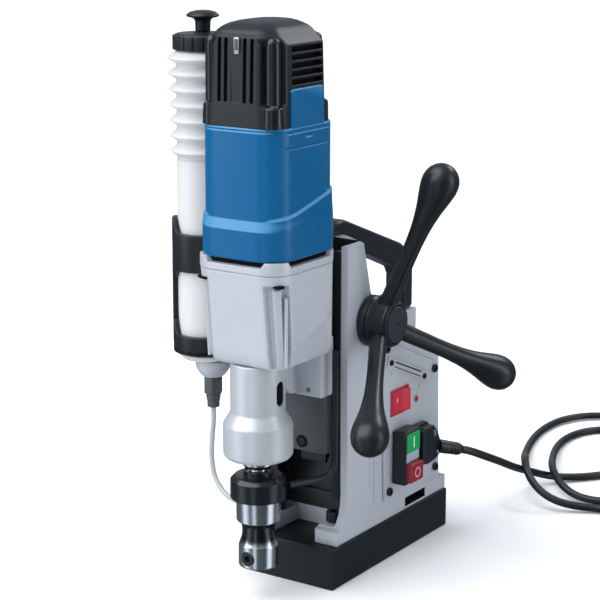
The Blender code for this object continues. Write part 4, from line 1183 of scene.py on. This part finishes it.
def spindle_sleeve():
    """The sleeve under the gearbox, with dark shades a little inside its slot."""
    profile = [
        (12.7, 177.7), (19.8, 177.7), (19.8, 141.5), (25.2, 132.5), (25.2, 110.0), (22.8, 107.2),
        (19.2, 107.2), (19.2, 124), (12.7, 124), (12.7, 177.7),
    ]
    sleeve = turned("quill", filleted(profile, 1.1), SPINDLE)
    sleeve = smooth(cut(sleeve, [prism("slot", side_slot(4.5), -40, 40, "X")]), 30)
    give(sleeve, "carriage", "aluminium", "spindle_sleeve")
    for index, side in enumerate((-1, 1), 1):
        shade = prism(f"slot_shade_{index}", side_slot(4.4), side * 13.2, side * 18.4, "X")
        give(shade, "carriage", "void")


def spindle():
    profile = [
        (0, 224), (7.4, 224), (8.0, 223.2), (8.0, 207.7), (12.2, 207.7), (12.2, 102.4), (9.8, 99.6),
        (6.7, 99.6), (6.7, 146), (0, 146),
    ]
    shaft = turned("spindle_shaft", filleted(profile, 0.4), SPINDLE)
    pockets = [prism("slot", side_slot(3.6), side * 8, side * 40, "X") for side in (-1, 1)]
    shaft = smooth(cut(shaft, pockets), 30)
    give(shaft, "tool_spindle", "chrome", "spindle")


def tool_holder():
    """The tool holder with its waist, and the grub screw that clamps the tool."""
    profile = [
        (0, 144), (6.3, 144), (6.3, 97.4), (8.8, 96.4), (8.8, 76.2), (16.0, 76.2), (16.0, 60.2),
        (15.2, 59.3), (13.4, 58.2), (12.3, 56.0), (11.9, 53.0), (11.9, 50.0), (12.3, 47.0), (13.3, 44.0),
        (14.3, 41.6), (14.5, 40.2), (14.5, 26.0), (13.8, 25.2), (9.5, 25.2), (9.5, 56.0), (0, 56.0),
    ]
    holder = turned("tool_holder", filleted(profile, 0.5), SPINDLE)
    x, y, _ = SPINDLE
    holder = smooth(cut(holder, [bar("grub_bore", (x, y - 20, GRUB_Z), (x, y - 5, GRUB_Z), 5.6)]), 30)
    give(holder, "tool_spindle", "holder", "arbor")
    grub = filleted([(0, 4.2), (5.3, 4.2), (5.3, 0), (0, 0)], 0.6)
    screw = turned("grub", grub, (x, y - 9.7, GRUB_Z), "Y", 48)
    key = prism("key", hexagon(x, GRUB_Z, 2.9), y - 20, y - 11.5, "Y")
    give(smooth(cut(screw, [key])), "tool_spindle", "dark_steel", "arbor_grub_screw")


def coolant_ring():
    """The ring round the tool holder, and its stay from the gearbox."""
    profile = [
        (10.7, 97.2), (10.7, 94.1), (14.0, 93.9), (17.0, 93.6), (17.6, 93.2), (20.3, 90.4), (20.3, 77.1),
        (19.7, 76.5), (9.1, 76.5), (9.1, 97.2), (10.7, 97.2),
    ]
    give(turned("coolant_collar", filleted(profile, 0.4), SPINDLE), "carriage", "collar", "coolant_ring")
    route = [
        (37.0, -78.0, 181.0), (37.0, -78.0, 150.0), (37.0, -78.2, 120.0), (37.0, -78.2, 104.0),
        (36.6, -79.0, 95.0), (34.9, -82.6, 88.6), (31.0, -90.5, 86.7), (25.6, -101.8, 86.5),
        (20.4, -112.6, 86.5),
    ]
    give(tube("collar_stay", smooth_points(route, 8), 2.5), "carriage", "plastic", "ring_stay")


# The coolant bottle


def bellows_profile():
    folds = 7
    fold = (BELLOWS_TOP - BELLOWS_BOTTOM) / folds
    outer = [(18.6, BELLOWS_TOP)]
    steps = 14
    for i in range(folds):
        top = BELLOWS_TOP - fold * i
        swell = 6.6 - 0.33 * i
        for step in range(1 if i == 0 else 0, steps):
            t = step / steps
            out = (0.5 - 0.5 * math.cos(2 * math.pi * t**0.84)) ** 1.25
            outer.append((19.4 + swell * out, top - fold * t - 1.4 * out * (1 - t)))
    outer.append((19.9, BELLOWS_BOTTOM))
    return outer


def coolant_bottle():
    """The bottle, and the bellows under its cap."""
    profile = [
        (0, 166), (16.5, 166), (18.5, 168), (18.5, 313.4), (20.0, 313.4), (20.0, 167), (17.0, 164),
        (0, 164),
    ]
    give(turned("bottle_body", filleted(profile, 0.15), BOTTLE), "carriage", "white", "bottle")
    profile = bellows_profile()
    inner = [(radius - 1.3, height) for radius, height in reversed(profile)]
    bellows = turned("bellows", closed([*profile, *inner]), BOTTLE)
    give(smooth(bellows, 60), "carriage", "white", "bottle_bellows")
    mm((*BOTTLE[:2], BELLOWS_BOTTOM))
    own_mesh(bellows)


def bottle_top():
    """The fluted cap, its flat top and the pump knob."""
    flutes = []
    for i in range(18):
        for radius, turn in ((22.0, -6.5), (22.0, 6.0), (21.1, 7.6), (21.1, 11.9)):
            a = math.radians(20 * i + turn)
            flutes.append((BOTTLE[0] + radius * math.cos(a), BOTTLE[1] + radius * math.sin(a)))
    cap = prism("bottle_lid", flutes, 391.8, 401.8, "Z", 0.3, 2)
    give(smooth(cap), "pump_top", "cap_plastic", "bottle_cap")
    lid = [
        (0, 404.2), (6.8, 404.1), (7.2, 403.4), (17.5, 403.3), (19.6, 402.9), (20.8, 401.6), (20.8, 400),
        (0, 400),
    ]
    give(turned("lid_top", filleted(lid, 0.6), BOTTLE), "pump_top", "cap_plastic")
    knob = [
        (0, 419.4), (5.0, 419.2), (9.6, 417.9), (11.6, 416.2), (11.9, 415.4), (11.2, 414.7), (8.0, 413.9),
        (5.9, 412.6), (5.5, 410.6), (5.4, 405.2), (5.2, 404.3), (0, 404.3),
    ]
    give(turned("knob", filleted(knob, 0.9), BOTTLE), "pump_top", "plastic", "pump_knob")


def outlet():
    """The outlet under the bottle, and the hose from it to the ring."""
    centre = (OUTLET_X, BOTTLE[1], 0)
    dome = [(0, 163.7), (13.2, 163.7), (13.2, 161.0), (12.4, 156.6), (9.6, 152.4), (7.4, 150.4), (0, 150.4)]
    give(turned("outlet_dome", filleted(dome, 0.8), centre), "carriage", "paint", "outlet_fitting")
    nut = prism("outlet_nut", hexagon(OUTLET_X, BOTTLE[1], 7.4), 137.4, 150.6, "Z", 0.5, 2)
    give(smooth(nut), "carriage", "hex_grey")
    tip = [(0, 137.6), (5.6, 137.6), (5.2, 133.0), (4.6, 131.0), (4.6, 127.0), (4.2, 126.6), (0, 126.6)]
    give(turned("outlet_tip", filleted(tip, 0.5), centre), "carriage", "hex_grey")
    route = [
        (OUTLET_X, -92, 126.9), (-62.2, -92, 114), (-63.6, -92, 101), (-63.8, -92.4, 87),
        (-60.5, -93.5, 73), (-51, -96.5, 63.6), (-39, -100.5, 60.6), (-28, -104.5, 60.8),
        (-18.5, -107.6, 63.6), (-13.6, -109.4, 68.2), (-12.9, -109.6, 71.5), (-12.9, -109.6, 76.2),
    ]
    give(tube("drip_hose", smooth_points(route, 8), 1.9), "carriage", "hose", "coolant_hose")


def bottle_clips():
    """The bottle's upper and lower clips, joined by a spine and a rib."""
    def near_left(degrees, reach):
        away = abs((degrees - CLIP_TURN + 180) % 360 - 180)
        return 1 - ease(reach * 0.35, reach, away)

    def upper_low(degrees):
        return 232 - 7 * near_left(degrees, 34)

    def upper_high(degrees):
        return 260 + 10 * near_left(degrees, 40)

    upper = band("upper_clip", BOTTLE, 20.4, 24.2, upper_low, upper_high)
    give(upper, "carriage", "plastic", "bottle_bracket")
    lower = band("lower_clip", BOTTLE, 20.4, 24.2, lambda d: 170.0, lambda d: 184 + 10 * near_left(d, 34))
    give(lower, "carriage", "plastic")
    rim = [(24.2, 173.4), (24.2, 170.0), (16.0, 166.8), (15.0, 163.9), (14.0, 163.9), (14.0, 168.0)]
    rim = closed([*rim, (20.4, 173.4)])
    give(turned("clip_floor", filleted(rim, 0.5), BOTTLE), "carriage", "plastic")
    spine = block("clip_spine", (-46.6, -104, 170), (-42.8, -80, 260), 1.0, 3)
    give(smooth(spine), "carriage", "plastic")
    arm = block("clip_arm", (-45, -102, 206), (-37.6, -84, 244), 1.0, 3)
    give(smooth(arm), "carriage", "plastic")
    turn = math.radians(CLIP_TURN)
    out = Vector((math.cos(turn), math.sin(turn), 0)) * 22.3
    place = Matrix.Translation(mm((BOTTLE[0] + out.x, BOTTLE[1] + out.y, 0)))
    place = place @ Matrix.Rotation(turn, 4, "Z")
    rib = block("clip_rib", (-1.9, -3.0, 176), (1.9, 3.0, 240), 0.8, 3, place)
    give(smooth(rib), "carriage", "plastic")


def paint_remaining():
    """The CAD nodes that stay as they are get their materials."""
    choices = {
        "stand_casting": "casting", "control_panel": "paint", "guide_rail_left": "dark_steel",
        "guide_rail_right": "dark_steel", "slide_carriage": "dark_cast", "feed_rack": "dark_steel",
        "feed_shaft": "steel",
        "feed_bush": "bronze", "control_board": "board", "magnet_coil": "copper", "stator": "steel",
        "armature": "copper", "layshaft": "steel", "spindle_gear": "steel", "spindle_bearing": "steel",
    }
    for name, look in choices.items():
        paint(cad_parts[name], look)


def build():
    make_camera()
    make_studio()
    make_materials()
    mains_lead()
    strain_relief()
    magnet()
    stand_details()
    stand_screws()
    slide_screw()
    scale_bar()
    rocker_switch()
    lamp()
    buttons()
    connector()
    handle()
    feed_wheel()
    motor()
    motor_cap()
    cap_pillars()
    cap_clip()
    gearbox()
    spindle_sleeve()
    spindle()
    tool_holder()
    coolant_ring()
    coolant_bottle()
    bottle_top()
    bottle_clips()
    outlet()
    paint_remaining()


build()
